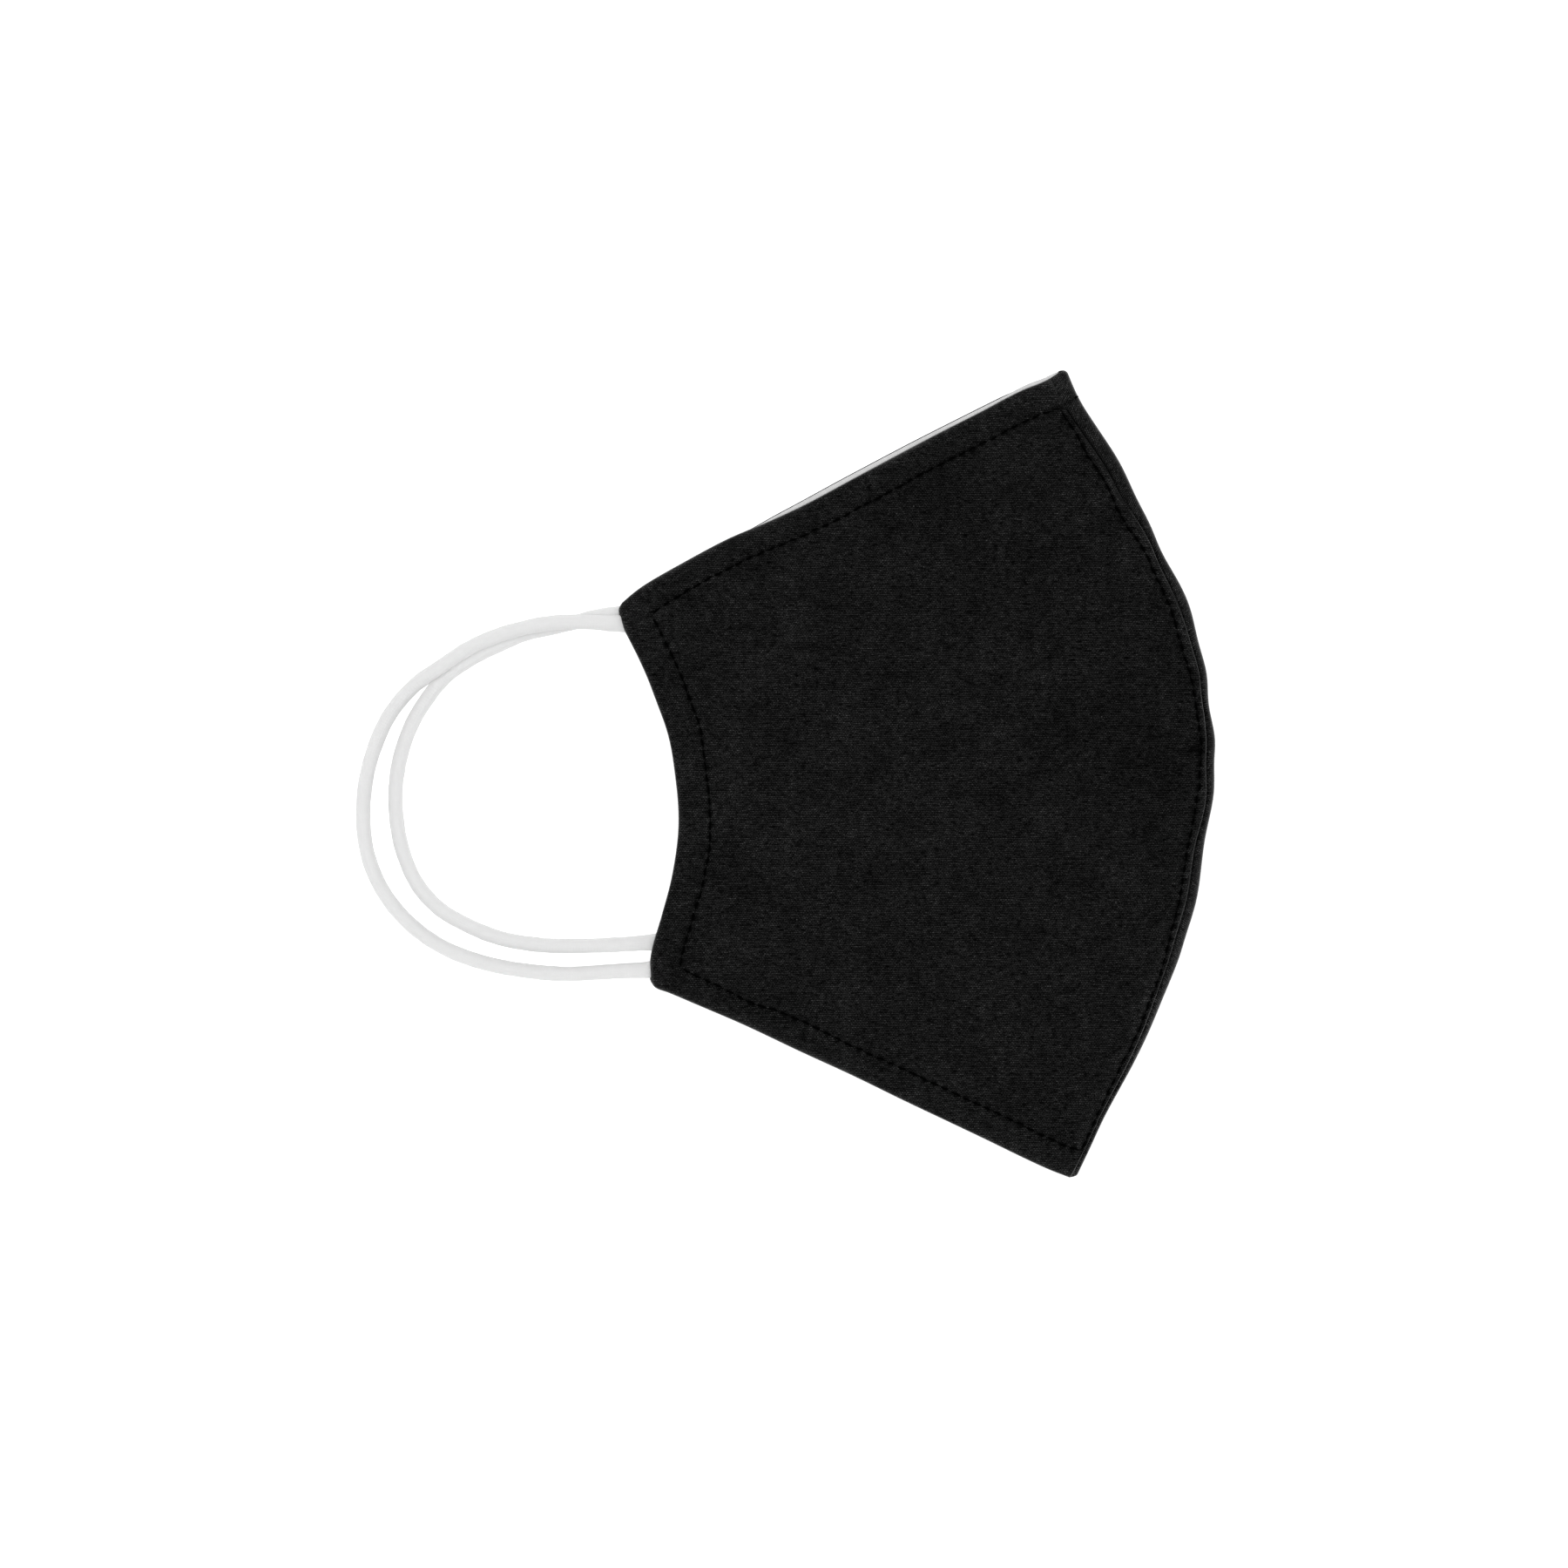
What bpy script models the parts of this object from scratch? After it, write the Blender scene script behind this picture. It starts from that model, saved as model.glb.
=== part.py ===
"""Cloth face mask in two shaped halves, folded at its centre seam and laid flat, with two ear loops.

Run with blender --background --python part.py, or from the text editor. Metres, +Z up. X runs from the
ear loops to the centre seam, Y from the chin to the nose, and Z up from the surface that the mask lies
on. The origin is on that surface, under the middle of the folded mask without its ear loops.

Each half is a black outer shell and a white lining. The far half lies on the surface, and its shell turns
up round the rim. The near half lies on it, meets it again at the centre seam just inside the rim, and
rises to an open mouth at the ear edge.
"""

import math

import bpy
import numpy as np

# Corners of a half, seen from above
FACE_HEIGHT = 0.1510  # chin corner up to the peak, where the centre seam meets the nose hem
PEAK_SETBACK = 0.0015  # how far the peak lies towards the ear from the chin corner
NOSE_HEM_REACH = 0.0836  # peak across to the upper ear corner
NOSE_HEM_DROP = 0.0443  # peak down to the upper ear corner
EAR_HEIGHT = 0.0703  # upper ear corner down to the lower ear corner
CHIN_HEM_REACH = 0.0790  # chin corner across to the lower ear corner
CORNER_RADIUS = 0.0015

# How far each edge leaves the straight line between its corners
SEAM_BOW = 0.0264
EAR_BOW = 0.0084
NOSE_HEM_BOW = 0.0015
CHIN_HEM_BOW = 0.0006

# Cloth
SHELL_THICKNESS = 0.0010
LINING_THICKNESS = 0.0010
CLEARANCE = 0.0003  # between pieces that are sewn together or lie on each other

# How the two halves lie on each other
SEAM_STRIP = 0.0016  # far shell that shows beyond the centre seam
LINING_STRIP = 0.0010  # far half that shows beyond the nose hem
FAR_TUCK = 0.0005  # far half's ear and chin edges, inside the near half's
LINING_TUCK = 0.0006  # near lining's edges, inside its shell's
SEAM_ALLOWANCE = 0.0010  # both linings' seam edges, inside the shells' turned rim
MOUTH_RISE = 0.0055  # near half at the middle of the ear edge, above its place when pressed flat
CROWN_RISE = 0.0055  # near half in its middle, above its place when pressed flat

# Ear loops
ELASTIC_DIAMETER = 0.00275
ELASTIC_POINT_SPACING = 0.0055

# Shapes of the edges, as shares of the way along and of the edge's bow
SEAM_SHAPE = (
    # along, bow
    (0.000, 0.000),
    (0.045, 0.115),
    (0.110, 0.305),
    (0.200, 0.570),
    (0.280, 0.755),
    (0.370, 0.890),
    (0.450, 0.970),
    (0.520, 1.000),
    (0.600, 0.965),
    (0.660, 0.910),
    (0.735, 0.765),
    (0.780, 0.635),
    (0.865, 0.405),
    (0.930, 0.190),
    (0.965, 0.080),
    (1.000, 0.000),
)
EAR_SHAPE = (
    # along, bow
    (0.00, 0.00),
    (0.05, 0.06),
    (0.10, 0.14),
    (0.18, 0.40),
    (0.28, 0.71),
    (0.40, 0.93),
    (0.51, 1.00),
    (0.62, 0.93),
    (0.74, 0.71),
    (0.85, 0.39),
    (0.93, 0.15),
    (1.00, 0.00),
)
NOSE_HEM_SHAPE = (
    # along, bow
    (0.00, 0.00),
    (0.06, 0.62),
    (0.12, 0.94),
    (0.18, 1.00),
    (0.26, 0.88),
    (0.34, 0.53),
    (0.43, 0.31),
    (0.55, 0.36),
    (0.70, 0.38),
    (0.85, 0.24),
    (1.00, 0.00),
)
CHIN_HEM_SHAPE = (
    # along, bow
    (0.00, 0.00),
    (0.12, -0.55),
    (0.22, -1.00),
    (0.45, -0.85),
    (0.62, -0.35),
    (0.78, 0.15),
    (0.93, 0.45),
    (1.00, 0.00),
)

# Strips of the far half that show, as shares of the way along and of the strip's width
SEAM_STRIP_SHAPE = (
    # along, width
    (0.00, 0.55),
    (0.15, 0.55),
    (0.25, 0.80),
    (0.35, 1.00),
    (0.55, 0.95),
    (0.63, 0.78),
    (0.75, 0.90),
    (0.83, 1.15),
    (0.91, 1.35),
    (1.00, 1.10),
)
LINING_STRIP_SHAPE = (
    # along, width
    (0.00, 0.00),
    (0.04, -0.20),
    (0.20, -0.30),
    (0.30, 0.05),
    (0.36, 0.65),
    (0.43, 1.00),
    (0.58, 1.00),
    (0.75, 0.80),
    (0.90, 0.60),
    (1.00, 0.00),
)

# Routes of the ear loops' centre lines, from the upper ear corner round to the lower one
EAR_LOOP_ROUTES = {
    "ear_loop_near": (
        # x, y, z
        (-0.0553, 0.0280, 0.00460),
        (-0.0573, 0.0280, 0.00462),
        (-0.0599, 0.0282, 0.00462),
        (-0.0637, 0.0283, 0.00460),
        (-0.0676, 0.0281, 0.00455),
        (-0.0728, 0.0272, 0.00445),
        (-0.0780, 0.0257, 0.00432),
        (-0.0832, 0.0234, 0.00420),
        (-0.0884, 0.0200, 0.00380),
        (-0.0936, 0.0163, 0.00255),
        (-0.0980, 0.0111, 0.00165),
        (-0.1010, 0.0046, 0.00140),
        (-0.1026, -0.0019, 0.00140),
        (-0.1030, -0.0083, 0.00140),
        (-0.1022, -0.0148, 0.00140),
        (-0.0996, -0.0213, 0.00140),
        (-0.0944, -0.0278, 0.00140),
        (-0.0884, -0.0321, 0.00140),
        (-0.0806, -0.0351, 0.00140),
        (-0.0728, -0.0366, 0.00140),
        (-0.0650, -0.0372, 0.00170),
        (-0.0590, -0.0369, 0.00260),
        (-0.0545, -0.0366, 0.00380),
        (-0.0499, -0.0364, 0.00440),
    ),
    "ear_loop_far": (
        # x, y, z
        (-0.0550, 0.0297, 0.00140),
        (-0.0573, 0.0296, 0.00140),
        (-0.0599, 0.0292, 0.00140),
        (-0.0637, 0.0282, 0.00140),
        (-0.0676, 0.0273, 0.00140),
        (-0.0728, 0.0261, 0.00140),
        (-0.0780, 0.0239, 0.00140),
        (-0.0832, 0.0213, 0.00140),
        (-0.0884, 0.0174, 0.00140),
        (-0.0909, 0.0143, 0.00140),
        (-0.0931, 0.0109, 0.00140),
        (-0.0957, 0.0046, 0.00140),
        (-0.0969, -0.0019, 0.00140),
        (-0.0968, -0.0083, 0.00140),
        (-0.0955, -0.0148, 0.00140),
        (-0.0924, -0.0213, 0.00140),
        (-0.0884, -0.0254, 0.00140),
        (-0.0843, -0.0278, 0.00140),
        (-0.0780, -0.0304, 0.00140),
        (-0.0702, -0.0318, 0.00140),
        (-0.0624, -0.0320, 0.00140),
        (-0.0547, -0.0317, 0.00140),
        (-0.0490, -0.0313, 0.00140),
    ),
}

# Fineness of the faceted cloth
LINES_ACROSS = 18  # from the ear edge to the centre seam
LINES_ALONG = 26  # from the chin hem to the nose hem
LINES_ROUND_RIM = 6
SLOPE_STEP = 1e-4  # share of a half over which the cloth's slope is measured
SHARP_ANGLE = math.radians(40)

# Colours: red, green, blue
BLACK_JERSEY = (0.012, 0.012, 0.013)
WHITE_COTTON = (0.80, 0.80, 0.78)
WHITE_ELASTIC = (0.82, 0.82, 0.81)

STACK = 2 * (SHELL_THICKNESS + LINING_THICKNESS) + 3 * CLEARANCE  # both halves pressed flat
RIM_RADIUS = STACK / 2


def remove_everything():
    for item in list(bpy.data.objects):
        bpy.data.objects.remove(item, do_unlink=True)


def read_table(rows, share):
    """Smooth curve through a table's rows: a cubic between each two, with its slopes from their neighbours."""
    places, values = np.array(rows).T
    slopes = np.gradient(values, places)
    row = np.clip(np.searchsorted(places, share, side="right") - 1, 0, len(places) - 2)
    width = places[row + 1] - places[row]
    t = (share - places[row]) / width
    start = values[row] * (1 + 2 * t) * (1 - t) ** 2 + slopes[row] * width * t * (1 - t) ** 2
    end = values[row + 1] * (3 - 2 * t) * t**2 - slopes[row + 1] * width * t**2 * (1 - t)
    return start + end


def left_of(direction):
    """Unit vectors a quarter turn anticlockwise from the given plan vectors."""
    turned = np.stack([-direction[..., 1], direction[..., 0]], axis=-1)
    return turned / np.linalg.norm(turned, axis=-1, keepdims=True)


def bowed_edge(start, end, bow, rows, share):
    """Points of an edge: the straight line from start to end, moved left by its bow times the table's share."""
    share = np.asarray(share)[..., None]
    return start + share * (end - start) + bow * read_table(rows, share) * left_of(end - start)


CHIN = np.array([0.0, 0.0])
PEAK = CHIN + [-PEAK_SETBACK, FACE_HEIGHT]
EAR_TOP = PEAK - [NOSE_HEM_REACH, NOSE_HEM_DROP]
EAR_BOTTOM = np.array([CHIN[0] - CHIN_HEM_REACH, EAR_TOP[1] - EAR_HEIGHT])


def rim(v):
    """Outermost line of the folded mask along the centre seam, from the chin (0) to the peak (1)."""
    return bowed_edge(CHIN, PEAK, -SEAM_BOW, SEAM_SHAPE, v)


def rim_outward(v):
    """Unit plan vectors that point out of the rim."""
    before = np.clip(v - SLOPE_STEP, 0, 1)
    after = np.clip(v + SLOPE_STEP, 0, 1)
    return -left_of(rim(after) - rim(before))


def seam_strip(v):
    """Width of the far shell that shows between the centre seam and the rim."""
    return SEAM_STRIP * read_table(SEAM_STRIP_SHAPE, v)


def patch(u, v, ear, seam, nose, chin):
    """Coons patch in plan: u runs from the ear line to the seam line, v from the chin hem to the nose hem."""
    zero, one = np.zeros(1), np.ones(1)
    u2, v2 = u[..., None], v[..., None]
    between_sides = (1 - u2) * ear(v) + u2 * seam(v)
    between_hems = (1 - v2) * chin(u) + v2 * nose(u)
    low = (1 - u2) * ear(zero) + u2 * seam(zero)
    high = (1 - u2) * ear(one) + u2 * seam(one)
    return between_sides + between_hems - (1 - v2) * low - v2 * high


def near_ear(v):
    return bowed_edge(EAR_BOTTOM, EAR_TOP, -EAR_BOW, EAR_SHAPE, v)


def near_seam(v):
    return rim(v) - seam_strip(v)[..., None] * rim_outward(v)


def near_nose(u):
    return bowed_edge(EAR_TOP, near_seam(np.ones(1))[0], NOSE_HEM_BOW, NOSE_HEM_SHAPE, u)


def near_chin(u):
    return bowed_edge(EAR_BOTTOM, near_seam(np.zeros(1))[0], -CHIN_HEM_BOW, CHIN_HEM_SHAPE, u)


def near_width(v):
    """Distance across the near half, from the ear edge to the centre seam."""
    return np.linalg.norm(near_seam(v) - near_ear(v), axis=-1)


def near_top(u, v):
    """Upper face of the near half: the rim's round edge, then a crown that opens into the mouth at the ear."""
    plan = patch(u, v, near_ear, near_seam, near_nose, near_chin)
    inside_rim = seam_strip(v) + (1 - u) * near_width(v)
    short_of_top = np.clip(RIM_RADIUS - inside_rim, 0, RIM_RADIUS)
    edge_height = RIM_RADIUS + np.sqrt(RIM_RADIUS**2 - short_of_top**2)
    across = MOUTH_RISE * (1 - u) ** 2 + CROWN_RISE * np.sin(math.pi * u)
    along = np.sin(math.pi * np.clip(v, 0, 1)) ** 0.9
    return np.concatenate([plan, (edge_height + across * along)[..., None]], axis=-1)


def near_layer(u, v, depth):
    """The near half's upper face, moved down into the cloth by depth, square to the cloth."""
    left, right = near_top(np.clip(u - SLOPE_STEP, 0, 1), v), near_top(np.clip(u + SLOPE_STEP, 0, 1), v)
    lower, upper = near_top(u, np.clip(v - SLOPE_STEP, 0, 1)), near_top(u, np.clip(v + SLOPE_STEP, 0, 1))
    square = np.cross(right - left, upper - lower)
    square /= np.linalg.norm(square, axis=-1, keepdims=True)
    return near_top(u, v) - depth * square


def far_ear(v):
    """The near half's ear edge, tucked in towards the seam."""
    return near_ear(v) + [FAR_TUCK, 0.0]


def far_seam(v):
    """Line where the flat far shell starts to turn up."""
    return rim(v) - RIM_RADIUS * rim_outward(v)


def far_nose(u):
    start, end = far_ear(np.ones(1))[0], far_seam(np.ones(1))[0]
    shown = LINING_STRIP * read_table(LINING_STRIP_SHAPE, u)[..., None] * left_of(end - start)
    return bowed_edge(start, end, NOSE_HEM_BOW, NOSE_HEM_SHAPE, u) + shown


def far_chin(u):
    start, end = far_ear(np.zeros(1))[0], far_seam(np.zeros(1))[0]
    return bowed_edge(start, end, -CHIN_HEM_BOW, CHIN_HEM_SHAPE, u)


def far_plan(u, v):
    return patch(u, v, far_ear, far_seam, far_nose, far_chin)


def at_height(plan, height):
    return np.concatenate([plan, np.broadcast_to(height, plan.shape[:-1])[..., None]], axis=-1)


def far_shell_layer(u, v, depth):
    """The far shell's outer face, moved into the cloth by depth: flat on the surface, then round the rim."""
    flat = at_height(far_plan(u, v), depth)
    seam_v = v[-1]
    seam_edge = seam_strip(seam_v) - CLEARANCE
    last_turn = np.arccos(1 - seam_edge / RIM_RADIUS)
    turn = np.linspace(-math.pi / 2, last_turn, LINES_ROUND_RIM + 1)[1:]
    radius = RIM_RADIUS - depth
    out = radius * np.cos(turn) - RIM_RADIUS
    plan = rim(seam_v) + out[..., None] * rim_outward(seam_v)
    return np.concatenate([flat, at_height(plan, RIM_RADIUS + radius * np.sin(turn))])


def graded_lines(count):
    """Shares from 0 to 1, closer together towards both ends."""
    return (1 - np.cos(np.linspace(0, math.pi, count))) / 2


def round_corners(points):
    """Pulls the plan in at the four corners: each corner's square becomes a quarter of a disc."""
    neighbours = (
        (CHIN, EAR_BOTTOM, rim(np.array(0.05))),
        (PEAK, rim(np.array(0.95)), EAR_TOP),
        (EAR_TOP, PEAK, EAR_BOTTOM),
        (EAR_BOTTOM, EAR_TOP, CHIN),
    )
    rounded = points.copy()
    for corner, first, second in neighbours:
        sides = np.array([first - corner, second - corner])
        sides *= CORNER_RADIUS / np.linalg.norm(sides, axis=1, keepdims=True)
        shares = 1 - (rounded[:, :2] - corner) @ np.linalg.inv(sides)
        near = (shares > 0).all(axis=1)
        a, b = np.clip(shares[near], 0, 1.2).T
        pulled = np.stack([a * np.sqrt(1 - b**2 / 2), b * np.sqrt(1 - a**2 / 2)], axis=1)
        rounded[near, :2] = corner + (1 - pulled) @ sides
    return rounded


def cloth_solid(top, bottom):
    """Points and faces of a closed wall between two grids of points, whose rows run from ear to seam."""
    rows, columns = top.shape[:2]
    index = np.arange(rows * columns).reshape(rows, columns)
    below = rows * columns
    quads = np.stack([index[:-1, :-1], index[1:, :-1], index[1:, 1:], index[:-1, 1:]], axis=-1).reshape(-1, 4)
    border = np.concatenate([index[:-1, 0], index[-1, :-1], index[:0:-1, -1], index[0, :0:-1]])
    following = np.roll(border, -1)
    sides = np.stack([border, border + below, following + below, following], axis=-1)
    faces = np.concatenate([quads, quads[:, ::-1] + below, sides])
    points = np.concatenate([top.reshape(-1, 3), bottom.reshape(-1, 3)])
    return round_corners(points), faces


def shell_near():
    u, v = np.meshgrid(graded_lines(LINES_ACROSS), graded_lines(LINES_ALONG), indexing="ij")
    return cloth_solid(near_layer(u, v, 0.0), near_layer(u, v, SHELL_THICKNESS))


def shell_far():
    u, v = np.meshgrid(graded_lines(LINES_ACROSS), graded_lines(LINES_ALONG), indexing="ij")
    return cloth_solid(far_shell_layer(u, v, SHELL_THICKNESS), far_shell_layer(u, v, 0.0))


def lining_shares(ear_tuck, seam_tuck, chin_tuck, nose_tuck):
    """Grid of a lining as shares of its half, tucked in from each edge by a length."""
    u, v = np.meshgrid(graded_lines(LINES_ACROSS), graded_lines(LINES_ALONG), indexing="ij")
    height = np.linalg.norm(near_nose(u) - near_chin(u), axis=-1)
    v = (chin_tuck + v * (height - chin_tuck - nose_tuck)) / height
    width = near_width(v)
    u = (ear_tuck + u * (width - ear_tuck - seam_tuck(v))) / width
    return u, v


def lining_near():
    def seam_tuck(v):
        return RIM_RADIUS + SEAM_ALLOWANCE - seam_strip(v)

    u, v = lining_shares(LINING_TUCK, seam_tuck, LINING_TUCK, LINING_TUCK)
    outer = SHELL_THICKNESS + CLEARANCE
    return cloth_solid(near_layer(u, v, outer), near_layer(u, v, outer + LINING_THICKNESS))


def lining_far():
    def seam_tuck(v):
        return np.full_like(v, SEAM_ALLOWANCE)

    u, v = lining_shares(0.0, seam_tuck, 0.0, 0.0)
    plan = far_plan(u, v)
    outer = SHELL_THICKNESS + CLEARANCE
    return cloth_solid(at_height(plan, outer + LINING_THICKNESS), at_height(plan, outer))


def smooth_route(route):
    """Points at an even spacing along a smooth curve through the route's points."""
    route = np.array(route)
    steps = np.linalg.norm(np.diff(route, axis=0), axis=1)
    places = np.concatenate([[0.0], np.cumsum(steps)])
    fine = np.linspace(0.0, places[-1], 40 * len(route))
    curve = np.stack([read_table(np.stack([places, route[:, k]], axis=1), fine) for k in range(3)], axis=1)
    along = np.concatenate([[0.0], np.cumsum(np.linalg.norm(np.diff(curve, axis=0), axis=1))])
    count = math.ceil(along[-1] / ELASTIC_POINT_SPACING) + 1
    even = np.linspace(0.0, along[-1], count)
    return np.stack([np.interp(even, along, curve[:, k]) for k in range(3)], axis=1)


def make_material(name, colour, roughness):
    material = bpy.data.materials.new(name)
    material.use_nodes = True
    material.diffuse_color = (*colour, 1.0)
    shader = material.node_tree.nodes["Principled BSDF"]
    shader.inputs["Base Color"].default_value = (*colour, 1.0)
    shader.inputs["Roughness"].default_value = roughness
    shader.inputs["Metallic"].default_value = 0.0
    return material


def add_object(name, data, material, parent):
    item = bpy.data.objects.new(name, data)
    data.materials.append(material)
    item.parent = parent
    bpy.context.scene.collection.objects.link(item)
    return item


def add_cloth(name, points, faces, material, parent):
    mesh = bpy.data.meshes.new(name)
    mesh.from_pydata(points.tolist(), [], faces.tolist())
    mesh.shade_smooth()
    mesh.set_sharp_from_angle(angle=SHARP_ANGLE)
    return add_object(name, mesh, material, parent)


def add_elastic(name, route, material, parent):
    points = smooth_route(route)
    curve = bpy.data.curves.new(name, "CURVE")
    curve.dimensions = "3D"
    curve.bevel_depth = ELASTIC_DIAMETER / 2
    curve.bevel_resolution = 2
    curve.use_fill_caps = True
    spline = curve.splines.new("POLY")
    spline.points.add(len(points) - 1)
    spline.points.foreach_set("co", np.column_stack([points, np.ones(len(points))]).ravel())
    return add_object(name, curve, material, parent)


def main():
    remove_everything()
    cloth = {
        "shell_near": shell_near(),
        "shell_far": shell_far(),
        "lining_near": lining_near(),
        "lining_far": lining_far(),
    }
    everything = np.concatenate([points for points, faces in cloth.values()])
    middle = (everything.min(axis=0) + everything.max(axis=0)) / 2
    middle[2] = 0.0

    mask = bpy.data.objects.new("mask", None)
    bpy.context.scene.collection.objects.link(mask)
    jersey = make_material("black_jersey", BLACK_JERSEY, 0.9)
    cotton = make_material("white_cotton", WHITE_COTTON, 0.9)
    elastic = make_material("white_elastic", WHITE_ELASTIC, 0.75)
    for name, (points, faces) in cloth.items():
        material = jersey if name.startswith("shell") else cotton
        add_cloth(name, points - middle, faces, material, mask)
    for name, route in EAR_LOOP_ROUTES.items():
        add_elastic(name, route, elastic, mask)


main()
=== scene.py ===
# %% [markdown]
# # A cloth face mask, folded flat
#
# The mask is cut in two shaped halves that are sewn together along a curved centre seam. Each half is a
# black jersey shell over a white cotton lining, bagged out and topstitched round its hems, and an elastic
# loop is caught in its ear hem. It lies folded at the centre seam, with one half on the other.
#
# The imported model gives the true size and place of every piece. This lesson keeps those places and makes
# each piece again as cloth, cord and thread. The first step loads the model.

# %% Load the imported model
import math

import bpy
import numpy as np
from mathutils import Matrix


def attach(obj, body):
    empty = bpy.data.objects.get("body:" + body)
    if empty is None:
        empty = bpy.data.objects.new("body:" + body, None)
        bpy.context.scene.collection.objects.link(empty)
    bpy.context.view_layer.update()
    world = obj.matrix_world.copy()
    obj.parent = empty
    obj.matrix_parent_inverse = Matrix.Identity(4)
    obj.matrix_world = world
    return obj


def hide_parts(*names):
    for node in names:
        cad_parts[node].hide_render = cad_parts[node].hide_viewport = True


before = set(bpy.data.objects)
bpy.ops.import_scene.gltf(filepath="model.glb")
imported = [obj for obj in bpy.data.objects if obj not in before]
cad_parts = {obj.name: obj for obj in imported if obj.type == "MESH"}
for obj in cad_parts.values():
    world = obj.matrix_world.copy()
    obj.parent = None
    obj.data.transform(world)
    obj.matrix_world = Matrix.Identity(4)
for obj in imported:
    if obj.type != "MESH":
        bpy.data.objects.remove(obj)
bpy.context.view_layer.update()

MM = 0.001

# %% [markdown]
# ## The view from above
#
# The photograph looks straight down, with no visible perspective. A camera high above with a long lens
# gives that, and it stays an ordinary perspective camera that can also be moved round the mask. Its lens
# follows from its height and from how much of the surface the photograph takes in.

# %% Camera
PHOTO_SPAN = 291.6 * MM  # width of the surface that the photograph takes in
PHOTO_MIDDLE = (-24.67 * MM, -1.86 * MM)
CLOTH_LEVEL = 3.5 * MM  # height at which that width holds
CAMERA_HEIGHT = 2.5
SENSOR = 36.0  # millimetres

camera_data = bpy.data.cameras.new("camera_above")
camera_data.sensor_width = SENSOR
camera_data.lens = SENSOR * (CAMERA_HEIGHT - CLOTH_LEVEL) / PHOTO_SPAN
camera_data.clip_end = 20.0
camera = bpy.data.objects.new("camera_above", camera_data)
camera.location = (*PHOTO_MIDDLE, CAMERA_HEIGHT)
bpy.context.scene.collection.objects.link(camera)
bpy.context.scene.camera = camera
print(f"lens {camera_data.lens:.1f} mm at {CAMERA_HEIGHT} m")

# %% [markdown]
# ## Light and floor
#
# The photograph was taken on a white sweep under soft light from above, bright enough for the surface to be
# pure white with hardly a shadow. One round lamp high over the mask gives most of the light, and an even
# pale sky fills the rest. The floor is white and glows a little, as a lit table does, which takes the last
# grey out of the shadows.


# %% A small helper for node graphs, then the lamp, the sky and the floor
def add_node(tree, kind, inputs=(), **settings):
    """A new node. Its settings are its own options, its inputs pairs of a socket and what goes in there."""
    node = tree.nodes.new(kind)
    for name, value in settings.items():
        setattr(node, name, value)
    for socket, value in inputs:
        if isinstance(value, bpy.types.NodeSocket):
            tree.links.new(value, node.inputs[socket])
        else:
            node.inputs[socket].default_value = value
    return node


LAMP_PLACE = (-0.15, 0.05, 4.5)
LAMP_WIDTH = 1.6
LAMP_POWER = 150.0
SKY_STRENGTH = 0.36
FLOOR_WHITE = (0.94, 0.94, 0.94, 1.0)
FLOOR_GLOW = 0.45
FLOOR_HALF_WIDTH = 5.0
FLOOR_GAP = 0.05 * MM  # the floor lies this far under the cloth

lamp_data = bpy.data.lights.new("round_lamp", "AREA")
lamp_data.shape = "DISK"
lamp_data.size = LAMP_WIDTH
lamp_data.energy = LAMP_POWER
lamp = bpy.data.objects.new("round_lamp", lamp_data)
lamp.location = LAMP_PLACE
bpy.context.scene.collection.objects.link(lamp)

sky = bpy.data.worlds.new("pale_sky")
sky.use_nodes = True
sky.node_tree.nodes["Background"].inputs["Color"].default_value = (1.0, 1.0, 1.0, 1.0)
sky.node_tree.nodes["Background"].inputs["Strength"].default_value = SKY_STRENGTH
bpy.context.scene.world = sky
bpy.context.scene.view_settings.view_transform = "Standard"

floor_white = bpy.data.materials.new("floor_white")
floor_white.use_nodes = True
floor_shader = floor_white.node_tree.nodes["Principled BSDF"]
floor_shader.inputs["Base Color"].default_value = FLOOR_WHITE
floor_shader.inputs["Roughness"].default_value = 1.0
floor_shader.inputs["Specular IOR Level"].default_value = 0.0
floor_shader.inputs["Emission Color"].default_value = (1.0, 1.0, 1.0, 1.0)
floor_shader.inputs["Emission Strength"].default_value = FLOOR_GLOW

half, level = FLOOR_HALF_WIDTH, -FLOOR_GAP
floor_corners = [(-half, -half, level), (half, -half, level), (half, half, level), (-half, half, level)]
floor_mesh = bpy.data.meshes.new("floor")
floor_mesh.from_pydata(floor_corners, [], [(0, 1, 2, 3)])
floor_mesh.materials.append(floor_white)
floor = bpy.data.objects.new("floor", floor_mesh)
bpy.context.scene.collection.objects.link(floor)
print("floor and lamp are in place")

# %% [markdown]
# ## Reading a table as a smooth curve
#
# An outline is easiest to keep as a few rows of numbers, each a share of the way along and a value there.
# The curve through them is made of cubics that share their slopes at the rows, so it has no kinks. The ear
# loops' routes are read in the same way.


# %% Smooth tables and routes
def read_table(rows, share):
    """Cubic between each two rows, whose slopes at the rows come from their neighbours."""
    places, values = np.array(rows).T
    slopes = np.gradient(values, places)
    share = np.asarray(share, float)
    row = np.clip(np.searchsorted(places, share, side="right") - 1, 0, len(places) - 2)
    width = places[row + 1] - places[row]
    t = (share - places[row]) / width
    start = values[row] * (1 + 2 * t) * (1 - t) ** 2 + slopes[row] * width * t * (1 - t) ** 2
    end = values[row + 1] * (3 - 2 * t) * t**2 - slopes[row + 1] * width * t**2 * (1 - t)
    return start + end


def path_length(points):
    """Length along a line of points, at each point."""
    steps = np.linalg.norm(np.diff(points, axis=0), axis=1)
    return np.concatenate([[0.0], np.cumsum(steps)])


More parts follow.
